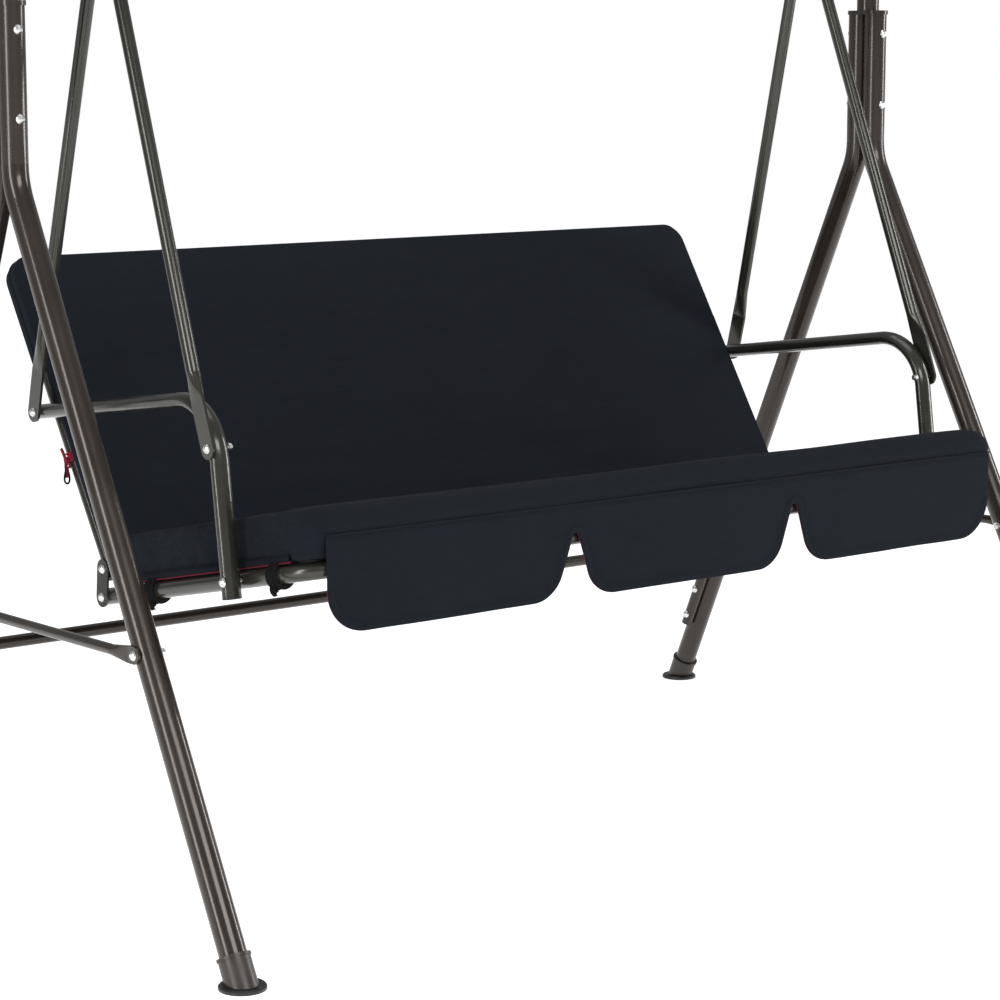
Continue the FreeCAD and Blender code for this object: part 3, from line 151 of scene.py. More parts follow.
class Material:
    """A node material under construction; its drawing methods return output sockets."""

    def __init__(self, name, **settings):
        self.material = bpy.data.materials.new(name)
        self.material.use_nodes = True
        self.tree = self.material.node_tree
        self.shader = self.tree.nodes["Principled BSDF"]
        for label, value in settings.items():
            self.shader.inputs[label.replace("_", " ")].default_value = value
        self.place = self.node("ShaderNodeTexCoord").outputs["Object"]

    def node(self, kind, inputs=None, **settings):
        made = self.tree.nodes.new(kind)
        for label, value in settings.items():
            setattr(made, label, value)
        for label, value in (inputs or {}).items():
            if isinstance(value, bpy.types.NodeSocket):
                self.tree.links.new(value, made.inputs[label])
            else:
                made.inputs[label].default_value = value
        return made

    def stretch(self, scale, turn=(0, 0, 0)):
        made = self.node("ShaderNodeMapping", {
            "Vector": self.place, "Scale": scale, "Rotation": turn})
        return made.outputs["Vector"]

    def noise(self, size, detail=2.0, rough=0.5, where=None):
        """Noise whose blotches are about size metres across."""
        made = self.node("ShaderNodeTexNoise", {
            "Vector": where or self.place, "Scale": 1 / size, "Detail": detail,
            "Roughness": rough})
        return made.outputs["Fac"]

    def bands(self, size, direction, where=None):
        """Smooth bands about size metres apart along an axis."""
        made = self.node("ShaderNodeTexWave", {
            "Vector": where or self.place, "Scale": BAND_SPACING / size},
            bands_direction=direction, wave_profile="SIN")
        return made.outputs["Fac"]

    def math(self, operation, a, b):
        return self.node("ShaderNodeMath", {0: a, 1: b}, operation=operation).outputs[0]

    def fit(self, value, low, high, new_low, new_high):
        made = self.node("ShaderNodeMapRange", {
            "Value": value, "From Min": low, "From Max": high,
            "To Min": new_low, "To Max": new_high})
        return made.outputs["Result"]

    def spread(self, blotches, low=0, high=1):
        """Noise, which lies mostly between 0.3 and 0.7, fitted between two values."""
        return self.fit(blotches, 0.3, 0.7, low, high)

    def mix(self, share, a, b):
        made = self.node("ShaderNodeMix", data_type="RGBA")
        for index, value in ((0, share), (6, a), (7, b)):
            if isinstance(value, bpy.types.NodeSocket):
                self.tree.links.new(value, made.inputs[index])
            else:
                made.inputs[index].default_value = (*value, 1)
        return made.outputs[2]

    def bump(self, height, depth, strength, under=None):
        made = self.node("ShaderNodeBump", {
            "Height": height, "Distance": depth, "Strength": strength})
        if under is not None:
            self.tree.links.new(under, made.inputs["Normal"])
        return made.outputs["Normal"]

    def finish(self, colour, rough, normal=None):
        for label, value in (("Base Color", colour), ("Roughness", rough), ("Normal", normal)):
            if value is not None:
                self.tree.links.new(value, self.shader.inputs[label])
        return self.material


def powder_coat(name, dark, light, rough, metallic):
    """Glossy bronze powder coat: orange peel, faint cloudiness, a few rubs and specks of dust."""
    m = Material(name, Metallic=metallic, Coat_Weight=0.3, Coat_Roughness=0.08,
                 Specular_IOR_Level=0.4)
    cloud = m.noise(0.11, 4)
    speck = m.fit(m.noise(0.0016, 2), 0.69, 0.74, 0, 0.5)
    rub = m.fit(m.noise(0.014, 6, 0.75, m.stretch((1, 1, 0.25))), 0.66, 0.78, 0, 0.35)
    colour = m.mix(m.spread(cloud), dark, light)
    colour = m.mix(m.math("MAXIMUM", speck, rub), colour, DUST)
    dull = m.math("MULTIPLY", rub, 0.5)
    roughness = m.math("ADD", m.spread(cloud, rough - 0.05, rough + 0.05), dull)
    peel = m.bump(m.noise(0.0022, 3), 0.00012, 0.35)
    dents = m.bump(m.noise(0.035, 2), 0.0008, 0.25, peel)
    return m.finish(colour, roughness, dents)


def zinc(name):
    """Zinc plate: bright and finely grained, with duller patches."""
    m = Material(name, Metallic=1.0)
    patch = m.noise(0.006, 5, 0.65)
    colour = m.mix(m.fit(patch, 0.35, 0.7, 0, 1), (0.86, 0.86, 0.84), (0.55, 0.55, 0.54))
    rough = m.fit(patch, 0.3, 0.75, 0.2, 0.45)
    return m.finish(colour, rough, m.bump(m.noise(0.0009, 3), 0.00008, 0.5))


def moulded(name, dark, light, rough):
    """Moulded plastic with a fine spark-eroded grain and scuffs."""
    m = Material(name)
    cloud = m.noise(0.03, 4)
    scuff = m.fit(m.noise(0.004, 6, 0.8, m.stretch((1, 1, 0.2))), 0.62, 0.8, 0, 0.6)
    colour = m.mix(m.spread(cloud), dark, light)
    colour = m.mix(scuff, colour, tuple(min(1, v * 2.2 + 0.02) for v in light))
    dull = m.math("MULTIPLY", scuff, 0.2)
    roughness = m.math("ADD", m.spread(cloud, rough - 0.06, rough + 0.06), dull)
    return m.finish(colour, roughness, m.bump(m.noise(0.0008, 2), 0.0001, 0.5))


def cloth(name, dark, light, thread=0.0008, sheen=0.012, creases=1.0, rough=0.85):
    """Plain-woven polyester: crossed threads with slubs, faded patches, and shallow creases that
    run mostly across the bench."""
    m = Material(name, Sheen_Weight=sheen, Sheen_Roughness=0.5, Specular_IOR_Level=0.06)
    across = m.bands(thread, "X")
    along = m.bands(thread, "Z", m.stretch((1, 1, 1), (math.radians(40), 0, 0)))
    weave = m.math("MULTIPLY", across, along)
    slub = m.noise(0.004, 3, 0.6, m.stretch((0.25, 1, 1)))
    fade = m.noise(0.16, 5, 0.6)
    plain = m.mix(m.spread(fade), dark, light)
    yarn = m.math("ADD", weave, m.math("MULTIPLY", slub, 0.6))
    colour = m.node("ShaderNodeVectorMath", {0: plain}, operation="SCALE")
    m.tree.links.new(m.fit(yarn, 0.2, 1.3, 0.78, 1.22), colour.inputs["Scale"])
    threads = m.bump(weave, 0.00025, 0.6)
    slubs = m.bump(slub, 0.0004, 0.3, threads)
    wrinkles = m.noise(0.045, 5, 0.6, m.stretch((0.16, 1, 1)))
    soft = m.bump(m.math("POWER", wrinkles, 1.6), 0.008, 0.4 * creases, slubs)
    pucker = m.noise(0.013, 3, 0.5, m.stretch((0.5, 1, 1)))
    fine = m.bump(pucker, 0.0016, 0.3 * creases, soft)
    broad = m.bump(m.noise(0.24, 2), 0.03, 0.2 * creases, fine)
    roughness = m.spread(fade, rough - 0.06, rough + 0.06)
    return m.finish(colour.outputs["Vector"], roughness, broad)


def webbing(name, dark, light):
    """Narrow woven tape with a rib across it."""
    m = Material(name, Sheen_Weight=0.01, Sheen_Roughness=0.4, Specular_IOR_Level=0.12)
    rib = m.bands(0.0012, "DIAGONAL")
    fuzz = m.noise(0.0015, 3, 0.7)
    shade = m.math("MULTIPLY", rib, fuzz)
    colour = m.mix(m.fit(shade, 0.1, 0.6, 0, 1), dark, light)
    return m.finish(colour, m.spread(fuzz, 0.6, 0.85), m.bump(shade, 0.0003, 0.8))


def pale(name, colour, rough, glow):
    """A back-lit white sweep."""
    m = Material(name, Emission_Color=WHITE, Emission_Strength=glow, Specular_IOR_Level=0.1)
    tone = m.spread(m.noise(0.8, 3))
    shade = m.mix(tone, colour, tuple(v * 0.985 for v in colour))
    return m.finish(shade, m.fit(tone, 0, 1, rough, rough + 0.05))


STAND_COAT = powder_coat("stand_coat", (0.030, 0.023, 0.018), (0.040, 0.031, 0.025), 0.27, 0.45)
BENCH_COAT = powder_coat("bench_coat", (0.036, 0.035, 0.029), (0.050, 0.048, 0.041), 0.24, 0.6)
ZINC = zinc("zinc_plate")
BLACK_PLASTIC = moulded("black_plastic", (0.006, 0.006, 0.0065), (0.013, 0.013, 0.0135), 0.42)
BROWN_PLASTIC = moulded("brown_plastic", (0.024, 0.018, 0.014), (0.036, 0.028, 0.022), 0.38)
NYLON = moulded("nylon", (0.52, 0.5, 0.45), (0.6, 0.58, 0.53), 0.5)
COVER = cloth("cover_cloth", (0.0092, 0.0114, 0.0158), (0.0116, 0.0140, 0.0190))
SLING = cloth("sling_cloth", (0.016, 0.016, 0.018), (0.028, 0.028, 0.030),
              thread=0.0022, creases=0.4)
BINDING = cloth("crimson_binding", (0.17, 0.006, 0.022), (0.25, 0.011, 0.034),
                sheen=0.1, creases=0.4, rough=0.6)
THREAD = cloth("sewing_thread", (0.013, 0.016, 0.022), (0.020, 0.024, 0.031),
               thread=0.0004, creases=0)
TAPE = webbing("black_webbing", (0.003, 0.003, 0.0035), (0.009, 0.009, 0.010))
FLOOR = pale("pale_floor", (0.8, 0.8, 0.8), 0.8, 0.72)

SLOT_MATERIALS = {
    "frame_tube": STAND_COAT, "bench_tube": BENCH_COAT, "zinc": ZINC,
    "black_plastic": BLACK_PLASTIC, "brown_plastic": BROWN_PLASTIC, "bearing": NYLON,
    "cover": COVER, "sling": SLING, "webbing": TAPE, "ribbon": BINDING}


def dress_frame():
    """Give every CAD node the material of its slot."""
    slots = {part["node"]: part["material_slot"] for part in frame["record"]["subparts"]}
    for name, node in frame["nodes"].items():
        node.data.materials.clear()
        node.data.materials.append(SLOT_MATERIALS[slots[name]])


# ---------------------------------------------------------------- mesh helpers

def in_scene(name, mesh, material, smooth=True):
    """An object in the scene with that mesh and material."""
    made = bpy.data.objects.new(name, mesh)
    bpy.context.scene.collection.objects.link(made)
    mesh.materials.append(material)
    mesh.polygons.foreach_set("use_smooth", [smooth] * len(mesh.polygons))
    return made


def new_piece(name, points, faces, material, smooth=True):
    mesh = bpy.data.meshes.new(name)
    mesh.from_pydata([tuple(p) for p in points], [], faces)
    mesh.validate()
    mesh.update()
    return in_scene(name, mesh, material, smooth)


def worked_piece(name, work, material):
    """A piece made of a bmesh, which is used up."""
    mesh = bpy.data.meshes.new(name)
    work.to_mesh(mesh)
    work.free()
    return in_scene(name, mesh, material)


WELD = 0.00002


def outwards(piece):
    """Weld a closed piece and turn its faces outwards."""
    work = bmesh.new()
    work.from_mesh(piece.data)
    bmesh.ops.remove_doubles(work, verts=work.verts, dist=WELD)
    bmesh.ops.recalc_face_normals(work, faces=work.faces)
    work.to_mesh(piece.data)
    work.free()
    return piece


def subdivide(piece):
    modifier = piece.modifiers.new("smooth", "SUBSURF")
    modifier.levels = modifier.render_levels = 1


def applied(piece):
    """Replace a piece's mesh by what its modifiers make of it."""
    graph = bpy.context.evaluated_depsgraph_get()
    graph.update()
    mesh = bpy.data.meshes.new_from_object(piece.evaluated_get(graph))
    materials = list(piece.data.materials)
    piece.modifiers.clear()
    piece.data = mesh
    if not mesh.materials:
        for material in materials:
            mesh.materials.append(material)
    mesh.polygons.foreach_set("use_smooth", [True] * len(mesh.polygons))
    return piece


def solidify(piece, thick):
    """Give a sheet its thickness, half to each side."""
    modifier = piece.modifiers.new("thick", "SOLIDIFY")
    modifier.thickness = thick
    modifier.offset = 0
    return applied(piece)


def bevel(piece, width):
    """Round the edges that bend by more than 40 degrees."""
    modifier = piece.modifiers.new("round", "BEVEL")
    modifier.width = width
    modifier.segments = 4
    modifier.limit_method = "ANGLE"
    modifier.angle_limit = math.radians(40)
    return applied(piece)


def remesh(piece, voxel):
    modifier = piece.modifiers.new("voxels", "REMESH")
    modifier.mode = "VOXEL"
    modifier.voxel_size = voxel
    return applied(piece)


def coordinates(mesh):
    found = np.zeros(len(mesh.vertices) * 3)
    mesh.vertices.foreach_get("co", found)
    return found.reshape(-1, 3)


SWELL_FRAMES = 20


def swell(piece, pressure, cap, held):
    """Fill a closed piece by a short cloth simulation; no point moves more than cap, nor does a
    held one."""
    rest = coordinates(piece.data)
    group = piece.vertex_groups.new(name="held")
    group.add([int(n) for n in np.nonzero(held(rest))[0]], 1.0, "REPLACE")
    modifier = piece.modifiers.new("cloth", "CLOTH")
    fabric = modifier.settings
    fabric.quality = 5
    fabric.mass = 0.25
    fabric.tension_stiffness = fabric.compression_stiffness = 12
    fabric.shear_stiffness = 6
    fabric.bending_stiffness = 0.4
    fabric.use_pressure = True
    fabric.uniform_pressure_force = pressure
    fabric.effector_weights.gravity = 0
    fabric.vertex_group_mass = "held"
    modifier.point_cache.frame_start, modifier.point_cache.frame_end = 1, SWELL_FRAMES
    scene = bpy.context.scene
    for number in range(1, SWELL_FRAMES + 1):
        scene.frame_set(number)
    graph = bpy.context.evaluated_depsgraph_get()
    moved = coordinates(piece.evaluated_get(graph).data) - rest
    piece.modifiers.remove(modifier)
    scene.frame_set(1)
    far = np.linalg.norm(moved, axis=1)
    moved *= np.minimum(1, cap / np.maximum(far, 1e-9))[:, None]
    piece.data.vertices.foreach_set("co", (rest + moved).ravel())
    piece.data.update()


FOLD_LONG = 0.34
FOLD_PITCH = 0.034


def wrinkle(piece, depth, seed, near):
    """Press long shallow folds into a piece, mostly across the bench; near says how deep where."""
    mesh = piece.data
    points = coordinates(mesh)
    normals = np.zeros(points.size)
    mesh.vertex_normals.foreach_get("vector", normals)
    normals = normals.reshape(-1, 3)
    rises = np.zeros(len(points))
    for index, (x, y, z) in enumerate(points.tolist()):
        lean = Vector((x / FOLD_LONG + 0.6 * y, y / FOLD_PITCH + 2.0 * x,
                       z / FOLD_PITCH - 1.2 * x))
        broad = noise.noise(lean + Vector((seed, 0, 0)))
        narrow = noise.noise(lean * 2.1 + Vector((0, seed, 0)))
        rises[index] = depth * near(Vector((x, y, z))) * (broad + 0.45 * narrow)
    mesh.vertices.foreach_set("co", (points + normals * rises[:, None]).ravel())
    mesh.update()


def grid_faces(rows, columns, closed=False):
    """Quads between rows of points; closed joins the last column to the first."""
    faces = []
    for row in range(rows - 1):
        low, high = row * columns, (row + 1) * columns
        for here in range(columns if closed else columns - 1):
            beside = (here + 1) % columns
            faces.append((low + here, low + beside, high + beside, high + here))
    return faces


def sweep(name, line, section, material, closed=False, up=Vector((0, 0, 1))):
    """A closed section carried along a line of points; the section's second axis keeps near up."""
    points = []
    count = len(line)
    for index, here in enumerate(line):
        ahead = line[(index + 1) % count] if closed or index + 1 < count else here
        behind = line[index - 1] if closed or index else here
        forward = (ahead - behind).normalized()
        side = forward.cross(up)
        side = side.normalized() if side.length > 1e-6 else forward.orthogonal().normalized()
        top = side.cross(forward)
        points += [here + side * a + top * b for a, b in section]
    rows = count + 1 if closed else count
    around = len(section)
    faces = [tuple(n % len(points) for n in face) for face in grid_faces(rows, around, True)]
    if not closed:
        faces += [tuple(range(around))[::-1], tuple(range(len(points) - around, len(points)))]
    return outwards(new_piece(name, points, faces, material))


def circle(radius, count, flat=1.0):
    """A round or flattened section."""
    return [(radius * math.cos(angle), radius * flat * math.sin(angle))
            for angle in (math.tau * n / count for n in range(count))]


def slab_section(width, thick):
    """A tape's section, its corners rounded."""
    a, b, r = width / 2, thick / 2, thick * 0.45
    return [(a, -b + r), (a, b - r), (a - r, b), (r - a, b),
            (-a, b - r), (-a, r - b), (r - a, -b), (a - r, -b)]


def along(line, spacing):
    """Points at an even spacing along a line, with the directions there."""
    found = []
    travelled, wanted = 0.0, spacing / 2
    for a, b in zip(line, line[1:]):
        length = (b - a).length
        while length > 0 and wanted <= travelled + length:
            found.append((a.lerp(b, (wanted - travelled) / length), (b - a).normalized()))
            wanted += spacing
        travelled += length
    return found


def stitches(name, line, face, material, pitch=0.0042, long=0.0030, thick=0.0005):
    """A row of small raised stitches along a line, on a face with that outward direction."""
    work = bmesh.new()
    for middle, forward in along(line, pitch):
        side = forward.cross(face).normalized()
        top = side.cross(forward).normalized()
        if top.dot(face) < 0:
            top = -top
        turn = Matrix((forward * long / 2, side * thick, top * thick)).transposed().to_4x4()
        turn.translation = middle
        bmesh.ops.create_icosphere(work, subdivisions=1, radius=1.0, matrix=turn)
    return worked_piece(name, work, material)


def lump(name, middle, size, material, seed):
    """A small knot: a ball pulled about by its turns."""
    work = bmesh.new()
    bmesh.ops.create_icosphere(work, subdivisions=3, radius=1.0)
    for vertex in work.verts:
        way = vertex.co.normalized()
        groove = 0.13 * math.sin(4.5 * way.x + 3.1 * way.z + seed) * math.cos(5.0 * way.y - seed)
        reach = 1 + groove + 0.1 * noise.noise(way * 1.7 + Vector((seed, 0, 0)))
        vertex.co = Vector(middle) + Vector([way[n] * size[n] * reach for n in range(3)])
    return worked_piece(name, work, material)


def finish(piece):
    """Let a piece swing with the bench."""
    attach(piece, "bench")
    return piece


def ripple(point, size, depth, seed=0.0):
    """Smooth noise about size metres across and depth metres deep."""
    return depth * noise.noise(Vector(point) / size + Vector((seed, seed * 1.7, seed * 0.6)))


# ---------------------------------------------------------------- back cover

BACK_HALF = 0.681
PANEL_HALF = 0.6775
BACK_TOP = 0.478
BACK_LOW = -0.028
HOOD_LOW = 0.288
HOOD_DEPTH = 0.036
PANEL_DEPTH = 0.0085
TOP_CORNER = 0.034
EDGE_ROUND = 0.007
BACK_ROWS = 58
BACK_COLUMNS = 150
BACK_FOLDS = 0.0021


def back_edge(x, up):
    """How far inside the back's outline a place lies."""
    inner, high = BACK_HALF - TOP_CORNER, BACK_TOP - TOP_CORNER
    if abs(x) > inner and up > high:
        return TOP_CORNER - math.hypot(abs(x) - inner, up - high)
    return min(BACK_HALF - abs(x), BACK_TOP - up, up - BACK_LOW + 0.003)


def rounded_steps(low, high, radius, count):
    """Places from low to high, even in the middle and gathered where an edge rounds off."""
    ends = [radius * (1 - math.sin(math.radians(a))) for a in (90, 72, 56, 42, 28, 14)]
    ends = sorted(set(round(e, 6) for e in ends))
    inner_low, inner_high = low + ends[-1] * 1.15, high - ends[-1] * 1.15
    middle = [inner_low + (inner_high - inner_low) * n / count for n in range(count + 1)]
    return [low + e for e in ends] + middle + [high - e for e in reversed(ends)]


def back_half_width(up):
    """Half the back's width at a height: narrow between the armrests, wider where the hood is."""
    beyond = max(0.0, up - (BACK_TOP - TOP_CORNER))
    half = BACK_HALF - TOP_CORNER + math.sqrt(max(0, TOP_CORNER ** 2 - beyond ** 2))
    return min(half, PANEL_HALF + (BACK_HALF - PANEL_HALF) * clamp((up - HOOD_LOW) / 0.03 + 0.2))


def back_cover():
    """A flat hood that slips over the tubes, and goes on below it as a thin panel before them."""
    rows = rounded_steps(BACK_LOW, BACK_TOP, EDGE_ROUND, BACK_ROWS)
    rows = sorted(set(rows + [HOOD_LOW - 0.003, HOOD_LOW, HOOD_LOW + 0.004]))
    shares = rounded_steps(-1, 1, EDGE_ROUND / BACK_HALF, BACK_COLUMNS)
    front, rear = [], []
    for up in rows:
        half = back_half_width(up)
        depth = HOOD_DEPTH if up >= HOOD_LOW else PANEL_DEPTH
        radius = min(depth / 2, EDGE_ROUND)
        for share in shares:
            x = share * half
            inside = min(max(back_edge(x, up), 0.0), radius)
            rise = radius - math.sqrt(max(0, radius ** 2 - (radius - inside) ** 2))
            front.append(on_back(x, rise, up))
            rear.append(on_back(x, depth - rise, up))
    columns = len(shares)
    sheet = grid_faces(len(rows), columns)
    offset = len(front)
    faces = sheet + [tuple(n + offset for n in reversed(face)) for face in sheet]
    last = (len(rows) - 1) * columns
    for c in range(columns - 1):
        faces.append((c + 1, c, c + offset, c + 1 + offset))
        faces.append((last + c, last + c + 1, last + c + 1 + offset, last + c + offset))
    for r in range(len(rows) - 1):
        a, b = r * columns, (r + 1) * columns
        faces.append((a, b, b + offset, a + offset))
        a, b = a + columns - 1, b + columns - 1
        faces.append((b, a, a + offset, b + offset))
    cover = outwards(new_piece("back_cover", front + rear, faces, COVER))

    def held(points):
        up = heights(points, RECLINE)
        side = np.abs(points[:, 0]) > BACK_HALF - 0.006
        return side | (up > BACK_TOP - 0.005) | (up < HOOD_LOW + 0.006)

    def near(point):
        up = (point - CREASE).dot(UP_BACK)
        edge = clamp((BACK_HALF - abs(point.x)) / 0.02) * clamp((BACK_TOP - up) / 0.02)
        return edge * (0.45 + 0.55 * math.exp(-((up - 0.02) / 0.07) ** 2))

    swell(cover, pressure=2.0, cap=0.004, held=held)
    wrinkle(cover, BACK_FOLDS, 4.0, near)
    subdivide(cover)
    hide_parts("back_cushion")
    finish(cover)


# ---------------------------------------------------------------- seat pad and valance

PAD_HALF = 0.672
PAD_FRONT = 0.538
PAD_THICK = 0.0689
PAD_ROUND = 0.040
PAD_CORNER = 0.034
PAD_EDGE = 0.011
PAD_VOXEL = 0.007
PAD_UNDER = 0.47  # the height below which its folds are shallow
PAD_FOLDS = 0.0024


def seat_profile():
    """The pad's side outline as forward and up distances: crease, rounded front, underside."""
    upright = PAD_THICK * math.tan(SEAT_TILT)
    under = PAD_THICK * math.tan(SEAT_TILT + RECLINE)
    outline = [(0.002, -0.001), (0.010, 0.0)]
    lean = math.degrees(SEAT_TILT)
    centre = (PAD_FRONT - PAD_ROUND * math.cos(math.radians(lean)), -PAD_ROUND)
    for step in range(13):
        angle = math.radians(90 - (90 - lean) * step / 12)
        outline.append((centre[0] + PAD_ROUND * math.cos(angle),
                        centre[1] + PAD_ROUND * math.sin(angle)))
    outline.append((PAD_FRONT - upright, -PAD_THICK + 0.004))
    outline.append((PAD_FRONT - upright - 0.006, -PAD_THICK))
    outline.append((under + 0.006, -PAD_THICK))
    return outline


def seat_pad():
    """The filled seat: its outline drawn out sideways, the front corners rounded in plan."""
    outline = seat_profile()
    half = PAD_HALF - 0.003
    ends = [half - PAD_CORNER * (1 - math.sin(math.radians(90 - 7.5 * n))) for n in range(13)]
    stations = [-x for x in ends] + ends[::-1]
    points = []
    for x in stations:
        beyond = max(0.0, abs(x) - (half - PAD_CORNER))
        short = PAD_CORNER - math.sqrt(max(0.0, PAD_CORNER ** 2 - beyond ** 2))
        points += [on_seat(x, forward * (1 - short / PAD_FRONT), up) for forward, up in outline]
    count = len(outline)
    faces = grid_faces(len(stations), count, True)
    faces += [tuple(range(count)), tuple(range(len(points) - count, len(points)))[::-1]]
    pad = outwards(new_piece("seat_cover", points, faces, COVER))
    remesh(bevel(pad, PAD_EDGE), PAD_VOXEL)

    def held(points):
        return heights(points, SEAT_TILT) < 0.004 - PAD_THICK

    def near(point):
        return 0.35 if point.z < PAD_UNDER else 1.0

    swell(pad, pressure=3.0, cap=0.0018, held=held)
    wrinkle(pad, PAD_FOLDS, 9.0, near)
    subdivide(pad)
    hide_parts("seat_cushion")
    finish(pad)


VALANCE_HALF = 0.648
VALANCE_TOP = 0.563
VALANCE_LOW = 0.4265
VALANCE_Y = BEAM_Y - 0.4796
VALANCE_ROWS = 26
VALANCE_THICK = 0.0022
NOTCH_X = 0.216
NOTCH_TOP = 0.517
NOTCH_NARROW = 0.006
NOTCH_WIDE = 0.036
LOBE_ROUND = 0.052
OUTER_ROUND = 0.062


def valance_edge(x):
    """Height of the valance's lower edge: three lobes with rounded corners, two narrow notches."""
    outer = abs(x) - (VALANCE_HALF - OUTER_ROUND)
    if outer > 0:
        return VALANCE_LOW + OUTER_ROUND - math.sqrt(max(0, OUTER_ROUND ** 2 - outer ** 2))
    gap = abs(abs(x) - NOTCH_X)
    tall = NOTCH_TOP - VALANCE_LOW
    if gap < NOTCH_NARROW:
        return NOTCH_TOP + 0.004 * math.sqrt(max(0, 1 - (gap / NOTCH_NARROW) ** 2))
    slope = math.atan2(tall, NOTCH_WIDE - NOTCH_NARROW)
    tangent = LOBE_ROUND * math.tan(slope / 2)
    centre = NOTCH_WIDE + tangent
    start = NOTCH_WIDE - tangent * math.cos(slope)
    if gap < start:
        return NOTCH_TOP - (gap - NOTCH_NARROW) * math.tan(slope)
    if gap < centre:
        return VALANCE_LOW + LOBE_ROUND - math.sqrt(max(0, LOBE_ROUND ** 2 - (centre - gap) ** 2))
    return VALANCE_LOW


def valance_columns():
    """Places across the valance, close together at its notches and outer corners."""
    found = {0.0}
    fine = [0.0, 0.0015, 0.003, 0.0045, 0.0057, NOTCH_NARROW, 0.0066]
    fine += [0.0066 + 0.0016 * n for n in range(1, 20)] + [0.038 + 0.004 * n for n in range(1, 14)]
    for gap in fine:
        found |= {round(NOTCH_X - gap, 5), round(NOTCH_X + gap, 5)}
    for step in range(0, 15):
        angle = math.radians(90 * step / 14)
        found.add(round(VALANCE_HALF - OUTER_ROUND + OUTER_ROUND * math.sin(angle), 5))
    for step in range(1, 75):
        place = VALANCE_HALF * step / 75
        if min(abs(place - other) for other in found) > 0.004:
            found.add(round(place, 5))
    return sorted(found | {-place for place in found})


def valance_point(x, z, out=0.0):
    """A place on the hanging cloth, which stands forward a little at its middle and waves."""
    drop = (VALANCE_TOP - z) / (VALANCE_TOP - VALANCE_LOW)
    wave = drop * (ripple((x, 0, 0), 0.16, 0.005, 3) + ripple((x, 0, z), 0.05, 0.0012, 8))
    belly = 0.0015 * math.sin(math.pi * min(1, drop))
    return Vector((x, VALANCE_Y - out + wave - belly, z))


def valance_sheet():
    columns = valance_columns()
    points = []
    for row in range(VALANCE_ROWS):
        share = (row / (VALANCE_ROWS - 1)) ** 0.9
        for x in columns:
            z = VALANCE_TOP + (valance_edge(x) - VALANCE_TOP) * share
            points.append(valance_point(x, z, out=0.0008))
    faces = grid_faces(VALANCE_ROWS, len(columns))
    return solidify(new_piece("valance", points, faces, COVER), VALANCE_THICK)


def lower_edge(rise, out):
    """A line that follows the valance's lower edge at a distance inside it."""
    start, end = (Vector((x, 0, VALANCE_TOP - 0.004)) for x in (-VALANCE_HALF, VALANCE_HALF))
    edge = [start] + [Vector((x, 0, valance_edge(x))) for x in valance_columns()] + [end]
    line = []
    for before, here, after in zip(edge, edge[1:], edge[2:]):
        run = (after - before).normalized()
        normal = Vector((-run.z, 0, run.x))
        place = here + normal * rise
        line.append(valance_point(place.x, place.z, out))
    return line


def top_edge(drop, out):
    """A line along the valance's top at a distance below it."""
    return [valance_point(x, VALANCE_TOP - drop, out) for x in valance_columns()]


def valance():
    """The hanging cloth with its hem, crimson edge, welt and rows of stitches."""
    front = valance_sheet()
    hem = sweep("valance_hem", lower_edge(0.005, 0.0017), circle(0.0050, 8, 0.15), COVER,
                up=-FRONT)
    edge = sweep("valance_edge", lower_edge(0.0004, -0.0006), circle(0.0007, 6), BINDING)
    rows = [stitches(f"valance_stitches_{n}", lower_edge(rise, 0.0020), FRONT, THREAD)
            for n, rise in enumerate((0.0112, 0.0142))]
    welt = sweep("valance_welt", top_edge(0.0015, 0.0014), circle(0.0019, 8), COVER)
    top = stitches("valance_top_stitches", top_edge(0.008, 0.0022), FRONT, THREAD)
    for piece in (front, hem, welt, *rows, top):
        finish(piece)
    finish(edge)
    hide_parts("seat_valance")


# ---------------------------------------------------------------- seams, straps and ties

def hood_outline(rise, depth, low):
    """A line round the hood's two sides and top, at a distance inside its outline."""
    half, high, radius = BACK_HALF - rise, BACK_TOP - rise, TOP_CORNER - rise
    line = [(-half, low + (high - radius - low) * n / 12) for n in range(12)]
    line += [(-half + radius - radius * math.cos(a), high - radius + radius * math.sin(a))
             for a in (math.radians(9 * n) for n in range(11))]
    line += [(-half + radius + (2 * (half - radius)) * n / 60, high) for n in range(1, 30)]
    line = line + [(0, high)] + [(-x, up) for x, up in reversed(line)]
    return [on_back(x, depth, up) for x, up in line]


HEM_UP = 0.008


def back_seams():
    """The hood's outer seam and its rear hem."""
    pieces = [sweep("back_seam", hood_outline(-0.0002, HOOD_DEPTH * 0.5, HOOD_LOW + 0.002),
                    circle(0.0014, 6), COVER)]
    hem_line = [on_back(x / 40 * (BACK_HALF - 0.009), HOOD_DEPTH + 0.0006, HOOD_LOW + HEM_UP)
                for x in range(-40, 41)]
    pieces.append(sweep("back_hood_hem", hem_line, slab_section(0.0016, 0.016), COVER,
                        up=UP_BACK))
    for n, rise in enumerate((0.0125, 0.0155)):
        line = [point + 0.0009 * INTO_BACK + (rise - HEM_UP) * UP_BACK for point in hem_line]
        pieces.append(stitches(f"back_hem_stitches_{n}", line, INTO_BACK, THREAD))
    for piece in pieces:
        finish(piece)


SIDE_HEM_REAR = 0.075
SIDE_HEM_LONG = 0.40
SIDE_HEM_UP = 0.0055


